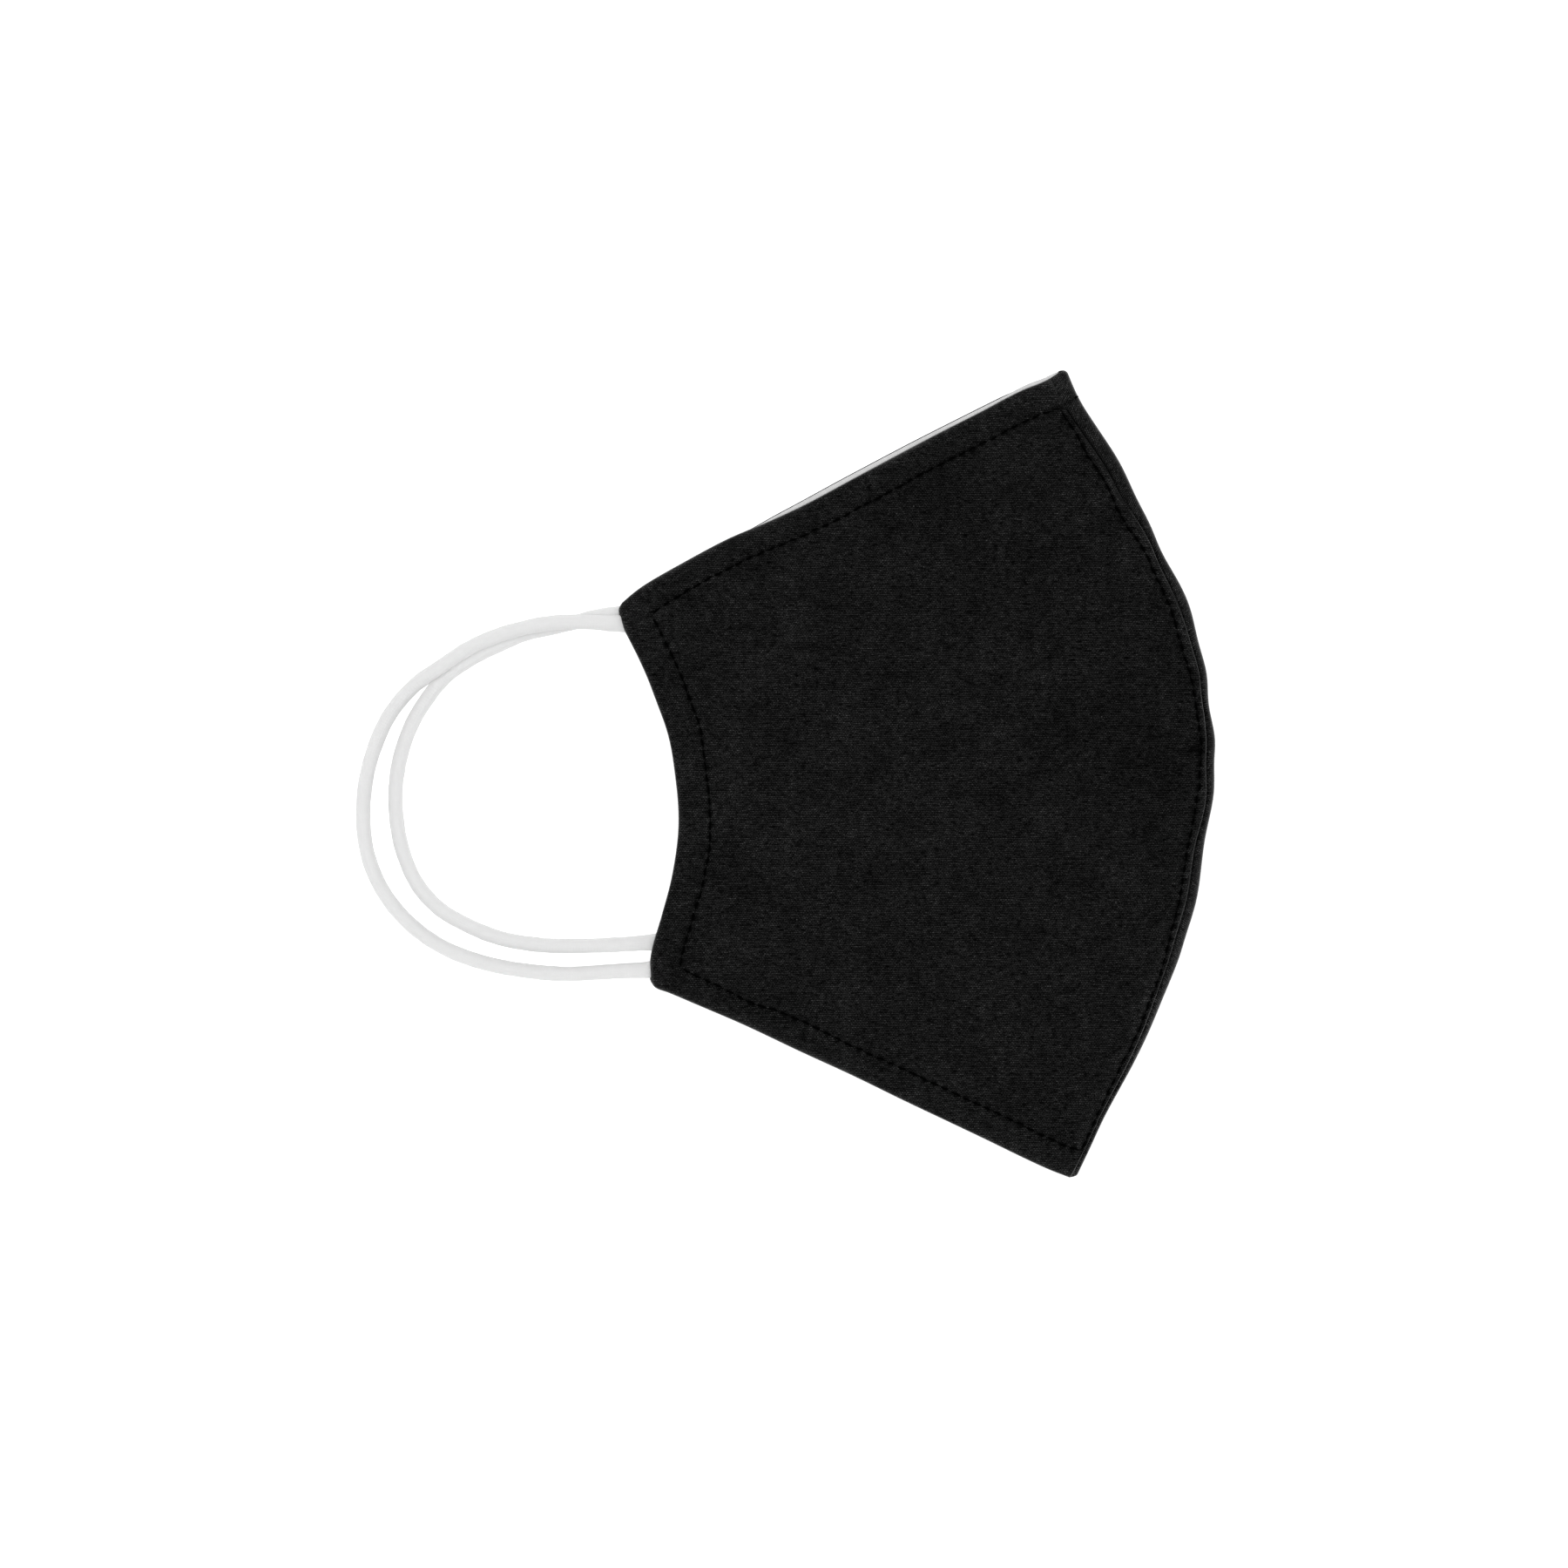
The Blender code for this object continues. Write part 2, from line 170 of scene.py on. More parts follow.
def smooth_route(route, spacing):
    """Points at an even spacing along the smooth curve through a route's points."""
    route = np.array(route)
    places = path_length(route)
    fine = np.linspace(0.0, places[-1], 60 * len(route))
    curve = np.stack([read_table(np.stack([places, route[:, k]], axis=1), fine) for k in range(3)], axis=1)
    along = path_length(curve)
    even = np.linspace(0.0, along[-1], math.ceil(along[-1] / spacing) + 1)
    return np.stack([np.interp(even, along, curve[:, k]) for k in range(3)], axis=1)


def unit(vectors):
    """Vectors of length one in the same directions."""
    return vectors / np.maximum(np.linalg.norm(vectors, axis=-1, keepdims=True), 1e-12)


def ripples(along, waves, dice):
    """Sum of sine waves along a line. Each has a length in millimetres, a share and a random phase."""
    total = 0.0
    for length, share in waves:
        total = total + share * np.sin(2 * np.pi * along / (length * MM) + dice.uniform(0, 2 * np.pi))
    return total


def smooth_step(value, low, high):
    """0 below low, 1 above high, and a smooth cubic between."""
    t = np.clip((value - low) / (high - low), 0, 1)
    return t * t * (3 - 2 * t)


# %% [markdown]
# ## A mesh from numpy points
#
# Every piece below is a set of points worked out as whole arrays, with faces that index them. One helper
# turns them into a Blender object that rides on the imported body. It also writes a UV map in metres, laid
# along the cloth or the cord, so that a knit or a weave follows the piece round its folds. A closed mesh
# holds a positive volume when its faces point outwards, and the helper turns them round if they don't.


# %% Points and faces to an object
def signed_volume(points, faces):
    """Sum of the signed volumes of the tetrahedra from the origin to each face's two triangles."""
    a, b, c, d = (points[faces[:, k]] for k in range(4))
    return (np.einsum("ij,ij->i", a, np.cross(b, c)) + np.einsum("ij,ij->i", a, np.cross(c, d))).sum() / 6


def add_piece(name, points, faces, material, pattern, marks=None):
    """Object of the given quads, smooth, with pattern as its UV map in metres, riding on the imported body.
    marks are named numbers for each point, which a material can read."""
    if signed_volume(points, faces) < 0:
        faces = faces[:, ::-1]
    mesh = bpy.data.meshes.new(name)
    mesh.from_pydata(points.tolist(), [], faces.tolist())
    mesh.shade_smooth()
    layer = mesh.uv_layers.new(name="pattern")
    corner = np.zeros(len(mesh.loops), dtype=np.int64)
    mesh.loops.foreach_get("vertex_index", corner)
    layer.data.foreach_set("uv", pattern[corner].astype(np.float32).ravel())
    for mark, values in (marks or {}).items():
        mesh.attributes.new(mark, "FLOAT", "POINT").data.foreach_set("value", values.astype(np.float32))
    mesh.materials.append(material)
    piece = bpy.data.objects.new(name, mesh)
    bpy.context.scene.collection.objects.link(piece)
    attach(piece, "root")
    low, high = points.min(axis=0) / MM, points.max(axis=0) / MM
    print(f"{name}: {2 * len(faces)} triangles, mm {low.round(1)} to {high.round(1)}")
    return piece


# %% [markdown]
# ## White elastic
#
# The ear loops are soft knitted elastic: a thin tube of fine ribs round a stretchy core. From above they
# read as matt white with a faintly uneven skin. The ribs run along the cord, so they are drawn on its UV
# map, where u is the distance round the cord and v the distance along it.


# %% Helpers for materials
def new_finish(name, roughness, level, sheen=0.0):
    """A material with its Principled shader, matt, with a little sheen where fibres stand up."""
    material = bpy.data.materials.new(name)
    material.use_nodes = True
    shader = material.node_tree.nodes["Principled BSDF"]
    shader.inputs["Roughness"].default_value = roughness
    shader.inputs["Specular IOR Level"].default_value = level
    shader.inputs["Sheen Weight"].default_value = sheen
    shader.inputs["Sheen Roughness"].default_value = 0.45
    return material, material.node_tree, shader


def pattern_in_mm(tree, turn=0.0):
    """The piece's UV map in millimetres, turned by an angle."""
    source = add_node(tree, "ShaderNodeUVMap", uv_map="pattern")
    to_mm = ("Scale", (1 / MM, 1 / MM, 1.0))
    inputs = [("Vector", source.outputs["UV"]), ("Rotation", (0.0, 0.0, turn)), to_mm]
    return add_node(tree, "ShaderNodeMapping", inputs).outputs["Vector"]


def math_node(tree, operation, first, second=0.0, third=0.0):
    """Result of one operation on numbers or sockets."""
    inputs = [(0, first), (1, second), (2, third)]
    return add_node(tree, "ShaderNodeMath", inputs, operation=operation).outputs["Value"]


def wave(tree, value, pitch, operation="SINE"):
    """Sine, or cosine, of a value, which comes round once in each pitch."""
    return math_node(tree, operation, math_node(tree, "MULTIPLY", value, 2 * math.pi / pitch))


def split_xy(tree, vector):
    """The first two numbers of a vector."""
    outputs = add_node(tree, "ShaderNodeSeparateXYZ", [("Vector", vector)]).outputs
    return outputs["X"], outputs["Y"]


def noise(tree, vector, scale, detail=3.0):
    """Soft noise between 0 and 1, with about scale bumps to a millimetre."""
    inputs = [("Vector", vector), ("Scale", scale), ("Detail", detail), ("Roughness", 0.55)]
    return add_node(tree, "ShaderNodeTexNoise", inputs).outputs["Fac"]


def colour_by(tree, shader, value, stops):
    """Base colour from a ramp with the given (place, grey) stops."""
    node = add_node(tree, "ShaderNodeValToRGB", [("Fac", value)])
    elements = node.color_ramp.elements
    while len(elements) < len(stops):
        elements.new(0.5)
    for element, (place, grey) in zip(elements, stops):
        element.position = place
        element.color = (grey, grey, grey, 1.0)
    tree.links.new(node.outputs["Color"], shader.inputs["Base Color"])


def add_bump(tree, shader, height, distance, strength=1.0):
    """Tilts the shader's normal by the slopes of a height."""
    inputs = [("Height", height), ("Distance", distance), ("Strength", strength)]
    tree.links.new(add_node(tree, "ShaderNodeBump", inputs).outputs["Normal"], shader.inputs["Normal"])


# %% [markdown]
# Two waves, one round the cord and one along it, make the fine ribs and rows. The white lets some light
# through, which fills the cord's own shadows, as light scattered between the fibres does.

# %% White elastic
RIB_PITCH = 0.42  # millimetres round the cord
ROW_PITCH = 0.55  # millimetres along the cord

elastic, tree, shader = new_finish("white_elastic", 0.8, 0.2, sheen=0.1)
place = pattern_in_mm(tree)
round_cord, along_cord = split_xy(tree, place)
rib, row = wave(tree, round_cord, RIB_PITCH), wave(tree, along_cord, ROW_PITCH)
knit = math_node(tree, "ADD", rib, math_node(tree, "MULTIPLY", row, 0.6))
knit = math_node(tree, "MULTIPLY_ADD", knit, 0.25, 0.5)
uneven = noise(tree, place, 0.8)
height = math_node(tree, "ADD", knit, math_node(tree, "MULTIPLY", uneven, 2.0))
shader.inputs["Subsurface Weight"].default_value = 1.0
shader.inputs["Subsurface Radius"].default_value = (1.0, 1.0, 1.0)
shader.inputs["Subsurface Scale"].default_value = 2.5 * MM
colour_by(tree, shader, uneven, [(0.3, 0.690), (0.7, 0.702)])
add_bump(tree, shader, height, 0.03 * MM)
print("white elastic is ready")

# %% [markdown]
# ## Ear loops
#
# Each loop leaves its half near the upper ear corner, curves out over the surface and comes back near the
# lower one. The photograph shows both from end to end, so their lengths are read from it. The near half's
# loop is the outer one and crosses over the other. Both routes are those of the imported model, and here they
# go on a few millimetres into the hem, where the sewing flattens the cord.

# %% Ear loop routes and the tube
ELASTIC_DIAMETER = 2.75 * MM
ELASTIC_SPREAD = 0.22  # how much wider the cord is where the hem squeezes it
ELASTIC_FLATTENING = 0.30  # how much flatter it is there
SQUEEZE_REACH = 4.2 * MM
ELASTIC_UNEVENNESS = 0.008
ELASTIC_WAVES = ((3.1, 1.0), (4.7, 1.0), (7.9, 1.0), (13.0, 1.0))  # lengths in millimetres, shares
END_ROUNDING = 0.6 * MM
END_POINT = 0.02  # width that is left at the tip, as a share
TUBE_SPACING = 0.28 * MM
TUBE_SIDES = 36

# Centre lines in millimetres from the upper ear corner round to the lower one
EAR_LOOP_ROUTES = {
    "ear_loop_near": (
        # x, y, z
        (-52.6, 27.9, 4.75),
        (-55.3, 28.0, 4.60),
        (-57.3, 28.0, 4.62),
        (-59.9, 28.2, 4.62),
        (-63.7, 28.3, 4.60),
        (-67.6, 28.1, 4.55),
        (-72.8, 27.2, 4.45),
        (-78.0, 25.7, 4.32),
        (-83.2, 23.4, 4.20),
        (-88.4, 20.0, 3.80),
        (-93.6, 16.3, 2.55),
        (-98.0, 11.1, 1.65),
        (-101.0, 4.6, 1.40),
        (-102.6, -1.9, 1.40),
        (-103.0, -8.3, 1.40),
        (-102.2, -14.8, 1.40),
        (-99.6, -21.3, 1.40),
        (-94.4, -27.8, 1.40),
        (-88.4, -32.1, 1.40),
        (-80.6, -35.1, 1.40),
        (-72.8, -36.6, 1.40),
        (-65.0, -37.2, 1.70),
        (-59.0, -36.9, 2.60),
        (-54.5, -36.6, 3.80),
        (-49.9, -36.4, 4.40),
        (-47.2, -36.1, 4.50),
    ),
    "ear_loop_far": (
        # x, y, z
        (-52.4, 29.7, 1.40),
        (-55.0, 29.7, 1.40),
        (-57.3, 29.6, 1.40),
        (-59.9, 29.2, 1.40),
        (-63.7, 28.2, 1.40),
        (-67.6, 27.3, 1.40),
        (-72.8, 26.1, 1.40),
        (-78.0, 23.9, 1.40),
        (-83.2, 21.3, 1.40),
        (-88.4, 17.4, 1.40),
        (-90.9, 14.3, 1.40),
        (-93.1, 10.9, 1.40),
        (-95.7, 4.6, 1.40),
        (-96.9, -1.9, 1.40),
        (-96.8, -8.3, 1.40),
        (-95.5, -14.8, 1.40),
        (-92.4, -21.3, 1.40),
        (-88.4, -25.4, 1.40),
        (-84.3, -27.8, 1.40),
        (-78.0, -30.4, 1.40),
        (-70.2, -31.8, 1.40),
        (-62.4, -32.0, 1.40),
        (-54.7, -31.7, 1.40),
        (-49.0, -31.3, 1.40),
        (-46.2, -31.1, 1.40),
    ),
}


def cap_quads(loop):
    """Quads that close an even loop of points: rungs from each point to the one across."""
    left, right = loop[: len(loop) // 2], loop[::-1][: len(loop) // 2]
    return np.stack([left[:-1], left[1:], right[1:], right[:-1]], axis=-1)


def tube_quads(rings, sides):
    """Quads of a closed tube whose points run round one ring after another."""
    index = np.arange(rings * sides).reshape(rings, sides)
    beside = np.roll(index, -1, axis=1)
    wall = np.stack([index[:-1], beside[:-1], beside[1:], index[1:]], axis=-1).reshape(-1, 4)
    return np.concatenate([wall, cap_quads(index[0][::-1]), cap_quads(index[-1])])


def cord_tube(path, seed):
    """Ring of points round each point of the path: an oval that widens and flattens towards both ends, with
    a slightly uneven radius. Quads join the rings, and each end is closed by rings that shrink to it."""
    along = path_length(path)
    tangent = unit(np.gradient(path, axis=0))
    sideways = unit(np.cross([0.0, 0.0, 1.0], tangent))
    upwards = np.cross(tangent, sideways)
    from_end = np.minimum(along, along[-1] - along)
    squeezed = np.exp(-((from_end / SQUEEZE_REACH) ** 2))
    dice = np.random.default_rng(seed)
    radius = ELASTIC_DIAMETER / 2 * (1 + ELASTIC_UNEVENNESS * ripples(along, ELASTIC_WAVES, dice))
    closing = np.sqrt(np.clip(1 - (1 - from_end / END_ROUNDING).clip(0, 1) ** 2, 0.0, 1.0))
    closing = np.maximum(closing, END_POINT)
    wide = radius * (1 + ELASTIC_SPREAD * squeezed) * closing
    tall = radius * (1 - ELASTIC_FLATTENING * squeezed) * closing
    turn = np.linspace(0, 2 * np.pi, TUBE_SIDES, endpoint=False)
    ring = wide[:, None, None] * np.cos(turn)[:, None] * sideways[:, None, :]
    ring = ring + tall[:, None, None] * np.sin(turn)[:, None] * upwards[:, None, :]
    points = (path[:, None, :] + ring).reshape(-1, 3)
    around = ELASTIC_DIAMETER / 2 * np.abs(turn - np.pi)
    pattern = np.stack(np.broadcast_arrays(around[None, :], along[:, None]), axis=-1).reshape(-1, 2)
    return points, tube_quads(len(path), TUBE_SIDES), pattern


# %% Both ear loops
for seed, (name, route) in enumerate(EAR_LOOP_ROUTES.items()):
    path = smooth_route(np.array(route) * MM, TUBE_SPACING)
    points, faces, pattern = cord_tube(path, seed)
    loop = add_piece("elastic_" + name, points, faces, elastic, pattern)
    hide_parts(name)


# %% [markdown]
# ## The outline of a half
#
# Seen from above, a half has four edges: the ear hem, the nose hem, the chin hem and the curved centre
# seam. Each is a straight line between two corners that bows out by the shares in its table, as in the
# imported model. The far half folds round the rim, and the near half starts a strip's width inside it, so the
# strip's table also settles where the centre seam runs.

# %% Corners and edges
FACE_HEIGHT = 151.0 * MM
PEAK_SETBACK = 1.5 * MM
NOSE_HEM_REACH = 83.6 * MM
NOSE_HEM_DROP = 44.3 * MM
EAR_HEIGHT = 70.3 * MM
CHIN_HEM_REACH = 79.0 * MM
SEAM_BOW = 26.4 * MM
EAR_BOW = 8.4 * MM
NOSE_HEM_BOW = 1.5 * MM
CHIN_HEM_BOW = 0.6 * MM
RIM_RADIUS = 2.45 * MM
FAR_TUCK = 0.5 * MM

SEAM_SHAPE = (
    # along, bow
    (0.000, 0.000), (0.045, 0.115), (0.110, 0.305), (0.200, 0.570), (0.280, 0.755), (0.370, 0.890),
    (0.450, 0.970), (0.520, 1.000), (0.600, 0.965), (0.660, 0.910), (0.735, 0.765), (0.780, 0.635),
    (0.865, 0.405), (0.930, 0.190), (0.965, 0.080), (1.000, 0.000),
)
EAR_SHAPE = (
    # along, bow
    (0.00, 0.00), (0.05, 0.06), (0.10, 0.14), (0.18, 0.40), (0.28, 0.71), (0.40, 0.93), (0.51, 1.00),
    (0.62, 0.93), (0.74, 0.71), (0.85, 0.39), (0.93, 0.15), (1.00, 0.00),
)
NOSE_HEM_SHAPE = (
    # along, bow
    (0.00, 0.00), (0.06, 0.62), (0.12, 0.94), (0.18, 1.00), (0.26, 0.88), (0.34, 0.53), (0.43, 0.31),
    (0.55, 0.36), (0.70, 0.38), (0.85, 0.24), (1.00, 0.00),
)
CHIN_HEM_SHAPE = (
    # along, bow
    (0.00, 0.00), (0.12, -0.55), (0.22, -1.00), (0.45, -0.85), (0.62, -0.35), (0.78, 0.15), (0.93, 0.45),
    (1.00, 0.00),
)
SEAM_STRIP_WIDTH = (
    # along from the chin, millimetres of far shell that show
    (0.00, 0.7), (0.06, 0.6), (0.15, 0.8), (0.22, 1.2), (0.27, 1.6), (0.32, 1.75), (0.40, 1.65),
    (0.44, 1.15), (0.50, 1.4), (0.55, 1.4), (0.575, 1.0), (0.61, 1.2), (0.67, 1.35), (0.71, 1.9),
    (0.745, 1.7), (0.782, 1.15), (0.815, 1.75), (0.845, 2.4), (0.88, 2.7), (0.94, 2.95), (1.00, 3.5),
)
LINING_STRIP_WIDTH = (
    # along from the ear, millimetres of far half that show
    (0.00, 0.0), (0.04, -0.2), (0.20, -0.3), (0.30, 0.05), (0.36, 0.65), (0.43, 1.0), (0.58, 1.0),
    (0.75, 0.8), (0.88, 0.6), (0.95, 0.1), (1.00, 0.0),
)
LINING_TIP = 0.5  # millimetres more of the lining that show at the peak

# Sewing pulls the edges into slight waves: millimetres outwards, at places along
RIM_WAVES = (
    (0.00, -0.10), (0.04, 0.18), (0.08, 0.07), (0.135, 0.37), (0.23, 0.05), (0.275, 0.18), (0.295, 0.15),
    (0.34, 0.46), (0.42, -0.15), (0.475, 0.46), (0.515, 0.24), (0.538, 0.47), (0.585, -0.06), (0.62, 0.32),
    (0.66, -0.09), (0.71, 0.33), (0.77, -0.12), (0.805, 0.22), (0.84, 0.03), (0.893, 0.44), (0.95, -0.10),
    (1.00, -0.30),
)
EAR_WAVES = (
    (0.00, 0.0), (0.02, 0.25), (0.07, 0.37), (0.10, 0.2), (0.20, 0.19), (0.30, 0.27), (0.40, 0.20),
    (0.54, 0.45), (0.65, 0.22), (0.75, 0.33), (0.82, 0.08), (0.91, 0.18), (0.965, 0.45), (1.00, 0.0),
)
NOSE_HEM_WAVES = (
    (0.00, 0.0), (0.04, 0.18), (0.135, 0.02), (0.285, 0.26), (0.40, 0.08), (0.60, 0.06), (0.75, 0.13),
    (0.86, 0.19), (0.90, 0.32), (0.95, 0.27), (0.975, 0.05), (1.00, 0.0),
)
CHIN_HEM_WAVES = (
    (0.00, 0.0), (0.015, 0.28), (0.04, 0.18), (0.10, 0.17), (0.20, 0.20), (0.335, 0.36), (0.48, 0.18),
    (0.60, 0.19), (0.75, 0.04), (0.90, 0.0), (0.96, 0.06), (1.00, 0.0),
)


def left_of(direction):
    """Unit vectors a quarter turn anticlockwise from plan vectors."""
    return unit(np.stack([-direction[..., 1], direction[..., 0]], axis=-1))


def bowed_edge(start, end, bow, rows, waves, out, share):
    """Straight line from start to end, moved to its left by bow times the first table's value, and outwards
    by the waves. out is 1 where the left is outside and -1 where it is inside."""
    share = np.asarray(share, float)[..., None]
    moved = bow * read_table(rows, share) + out * MM * read_table(waves, share)
    return start + share * (end - start) + moved * left_of(end - start)


CHIN = np.array([0.0, 0.0])
PEAK = CHIN + [-PEAK_SETBACK, FACE_HEIGHT]
EAR_TOP = PEAK - [NOSE_HEM_REACH, NOSE_HEM_DROP]
EAR_BOTTOM = np.array([CHIN[0] - CHIN_HEM_REACH, EAR_TOP[1] - EAR_HEIGHT])
STEP = 1e-4  # share of the way along, over which a slope is taken
PEAK_LEAN = 0.17  # share of the way along the rim that the way out leans at the peak


def rim(v):
    """Outermost line of the folded mask along the centre seam, from the chin to the peak."""
    return bowed_edge(CHIN, PEAK, -SEAM_BOW, SEAM_SHAPE, RIM_WAVES, -1, v)


def rim_outward(v):
    """Unit plan vectors out of the rim, which lean forward close to the peak, where the cloth wraps askew."""
    along = unit(rim(np.clip(v + STEP, 0, 1)) - rim(np.clip(v - STEP, 0, 1)))
    lean = PEAK_LEAN * smooth_step(np.asarray(v, float), 0.95, 1.0)[..., None]
    return unit(lean * along - left_of(along))


def seam_strip(v):
    """Width of far shell between the centre seam and the rim, seen from above."""
    return MM * read_table(SEAM_STRIP_WIDTH, v)


def start_of(edge):
    """First point of an edge."""
    return edge(np.zeros(1))[0]


def end_of(edge):
    """Last point of an edge."""
    return edge(np.ones(1))[0]


def nose_hem(start, end, u):
    """Line of the nose hem between two corners."""
    return bowed_edge(start, end, NOSE_HEM_BOW, NOSE_HEM_SHAPE, NOSE_HEM_WAVES, 1, u)


def chin_hem(start, end, u):
    """Line of the chin hem between two corners."""
    return bowed_edge(start, end, -CHIN_HEM_BOW, CHIN_HEM_SHAPE, CHIN_HEM_WAVES, -1, u)


def near_ear(v):
    """Ear edge of the near half, from the chin side to the nose side."""
    return bowed_edge(EAR_BOTTOM, EAR_TOP, -EAR_BOW, EAR_SHAPE, EAR_WAVES, 1, v)


def near_seam(v):
    """Centre seam of the near half, a strip's width inside the rim."""
    return rim(v) - seam_strip(v)[..., None] * rim_outward(v)


def near_nose(u):
    """Nose hem of the near half, from the ear to the seam."""
    return nose_hem(EAR_TOP, end_of(near_seam), u)


def near_chin(u):
    """Chin hem of the near half, from the ear to the seam."""
    return chin_hem(EAR_BOTTOM, start_of(near_seam), u)


def far_ear(v):
    """The near half's ear edge, tucked in a little."""
    return near_ear(v) + [FAR_TUCK, 0.0]


def far_seam(v):
    """Line where the flat far shell starts to turn up."""
    return rim(v) - RIM_RADIUS * rim_outward(v)


def far_nose(u):
    """The near half's hem line, moved out by the strip of lining that shows."""
    start, end = end_of(far_ear), end_of(far_seam)
    shown = MM * read_table(LINING_STRIP_WIDTH, u)[..., None] * left_of(end - start)
    return nose_hem(start, end, u) + shown


def lining_nose(u):
    """The far hem line, with the lining drawn out further towards the peak."""
    more = MM * LINING_TIP * smooth_step(u, 0.88, 0.96)[..., None]
    return far_nose(u) + more * left_of(end_of(far_seam) - end_of(far_ear))


def far_chin(u):
    """Chin hem of the far half."""
    return chin_hem(start_of(far_ear), start_of(far_seam), u)


def patch(u, v, ear, seam, nose, chin):
    """Coons patch: the blend between the two sides plus the blend between the two hems, less the blend of the
    four corners."""
    zero, one = np.zeros(1), np.ones(1)
    u2, v2 = u[..., None], v[..., None]
    between_sides = (1 - u2) * ear(v) + u2 * seam(v)
    between_hems = (1 - v2) * chin(u) + v2 * nose(u)
    low = (1 - u2) * ear(zero) + u2 * seam(zero)
    high = (1 - u2) * ear(one) + u2 * seam(one)
    return between_sides + between_hems - (1 - v2) * low - v2 * high


outline = np.concatenate([rim(np.linspace(0, 1, 400)), near_ear(np.linspace(0, 1, 400))])
MIDDLE = np.array([*(outline.min(axis=0) + outline.max(axis=0)) / 2, 0.0])
print("a half is, in mm,", (1000 * (outline.max(axis=0) - outline.min(axis=0))).round(1))

# %% [markdown]
# ## A sewn sheet
#
# Shell and lining are sewn right sides together and turned, so a hem isn't a cut edge: the shell rolls over
# the edge and meets the lining. The same function makes all four sheets. It takes the outer face as a grid
# of points, rounds it off towards its edges, carries it on round the edge in a few rings, and comes back
# inside at the cloth's thickness, which closes the sheet.
#
# Near an edge, the face drops by r - r sqrt(1 - c^2), where r is the roll's radius and c goes from 0 at a
# distance r inside the edge to 1 on it. Where two edges meet, their two values join as c^2 = a^2 + b^2 -
# a^2 b^2, which fits the round corner in plan.

# %% Grid lines, slopes and distances
PEAK_RADIUS = 0.5 * MM
CHIN_RADIUS = 1.2 * MM
EAR_TOP_RADIUS = 1.0 * MM
EAR_BOTTOM_RADIUS = 0.9 * MM
EDGE_BAND = 4.0 * MM  # lines are packed closer within this distance of an edge
EDGE_PACKING = 6.0
FADE_REACH = 4.0 * MM  # an inner layer's inset fades out over this distance
HALF_WIDTH, HALF_HEIGHT = 92 * MM, 118 * MM  # usual lengths of the grid's lines


def packed_lines(count, length):
    """Shares from 0 to 1, packed towards both ends: even steps of the integral of 1 + k e^(-d/w)."""
    place = np.linspace(0, 1, 4001)
    by_start, by_end = np.exp(-place * length / EDGE_BAND), np.exp((place - 1) * length / EDGE_BAND)
    packing = 1 + EDGE_PACKING * (by_start + by_end)
    total = np.concatenate([[0.0], np.cumsum((packing[1:] + packing[:-1]) / 2)])
    return np.interp(np.linspace(0, total[-1], count), total, place)


def travelled(points, axis):
    """Length along the grid's lines in one direction, from the first point."""
    steps = np.linalg.norm(np.diff(points, axis=axis), axis=-1)
    start = np.zeros_like(np.take(steps, [0], axis=axis))
    return np.concatenate([start, np.cumsum(steps, axis=axis)], axis=axis)


def measure_grid(points):
    """Directions along the grid, its upward normal, and each point's distance from the four sides, along the
    grid's lines and square to the side."""
    across, along = unit(np.gradient(points, axis=0)), unit(np.gradient(points, axis=1))
    upward = unit(np.cross(across, along))
    lean = np.linalg.norm(np.cross(across, along), axis=-1)
    from_ear, from_chin = travelled(points, 0), travelled(points, 1)
    distance = {
        "ear": from_ear * lean[:1],
        "seam": (from_ear[-1:] - from_ear) * lean[-1:],
        "chin": from_chin * lean[:, :1],
        "nose": (from_chin[:, -1:] - from_chin) * lean[:, -1:],
    }
    inward = {"ear": np.cross(along, upward), "chin": np.cross(upward, across)}
    inward["seam"], inward["nose"] = -inward["ear"], -inward["chin"]
    return upward, distance, inward


def round_corners(points):
    """Pulls the plan in at the four corners, so that each corner's square becomes a quarter of a disc. Where
    a and b are shares of the square along its two sides, a becomes a sqrt(1 - b^2 / 2), and b the like."""
    corners = (
        # corner, a point along each of its two sides, radius
        (rim(0.0), EAR_BOTTOM, rim(0.05), CHIN_RADIUS),
        (rim(1.0), rim(0.95), EAR_TOP, PEAK_RADIUS),
        (EAR_TOP, PEAK, EAR_BOTTOM, EAR_TOP_RADIUS),
        (EAR_BOTTOM, EAR_TOP, CHIN, EAR_BOTTOM_RADIUS),
    )
    rounded = points.copy()
    for corner, first, second, radius in corners:
        sides = radius * unit(np.array([first - corner, second - corner]))
        shares = 1 - (rounded[:, :2] - corner) @ np.linalg.inv(sides)
        near = (shares > 0).all(axis=1)
        a, b = shares[near].T
        pull_a, pull_b = (np.sqrt(1 - np.minimum(other, 1) ** 2 / 2) for other in (b, a))
        pulled = np.stack([a * pull_a, b * pull_b], axis=1)
        rounded[near, :2] = corner + (1 - pulled) @ sides
    return rounded


# %% [markdown]
# The closed sheet is three grids of points in one list: the outer face, the rings that go round its border,
# and the inner face. Every ring has a point for each point of the border, so all the faces are quads.

# %% The sheet itself
ROLL_RINGS = 7
SEAM_WALL = 0.9  # thickness at a tightly rolled seam, as a share of the roll's radius
SEAM_MARGIN = 3.0 * MM  # the seam's roll starts this far from the hems
FLAT_FROM, FLAT_AT = 0.5, 0.85  # upright part of the normal where cloth starts and finishes counting as flat


def border_of(rows, columns):
    """Numbers of a grid's points, and those of its border in order."""
    index = np.arange(rows * columns).reshape(rows, columns)
    return index, np.concatenate([index[:-1, 0], index[-1, :-1], index[:0:-1, -1], index[0, :0:-1]])


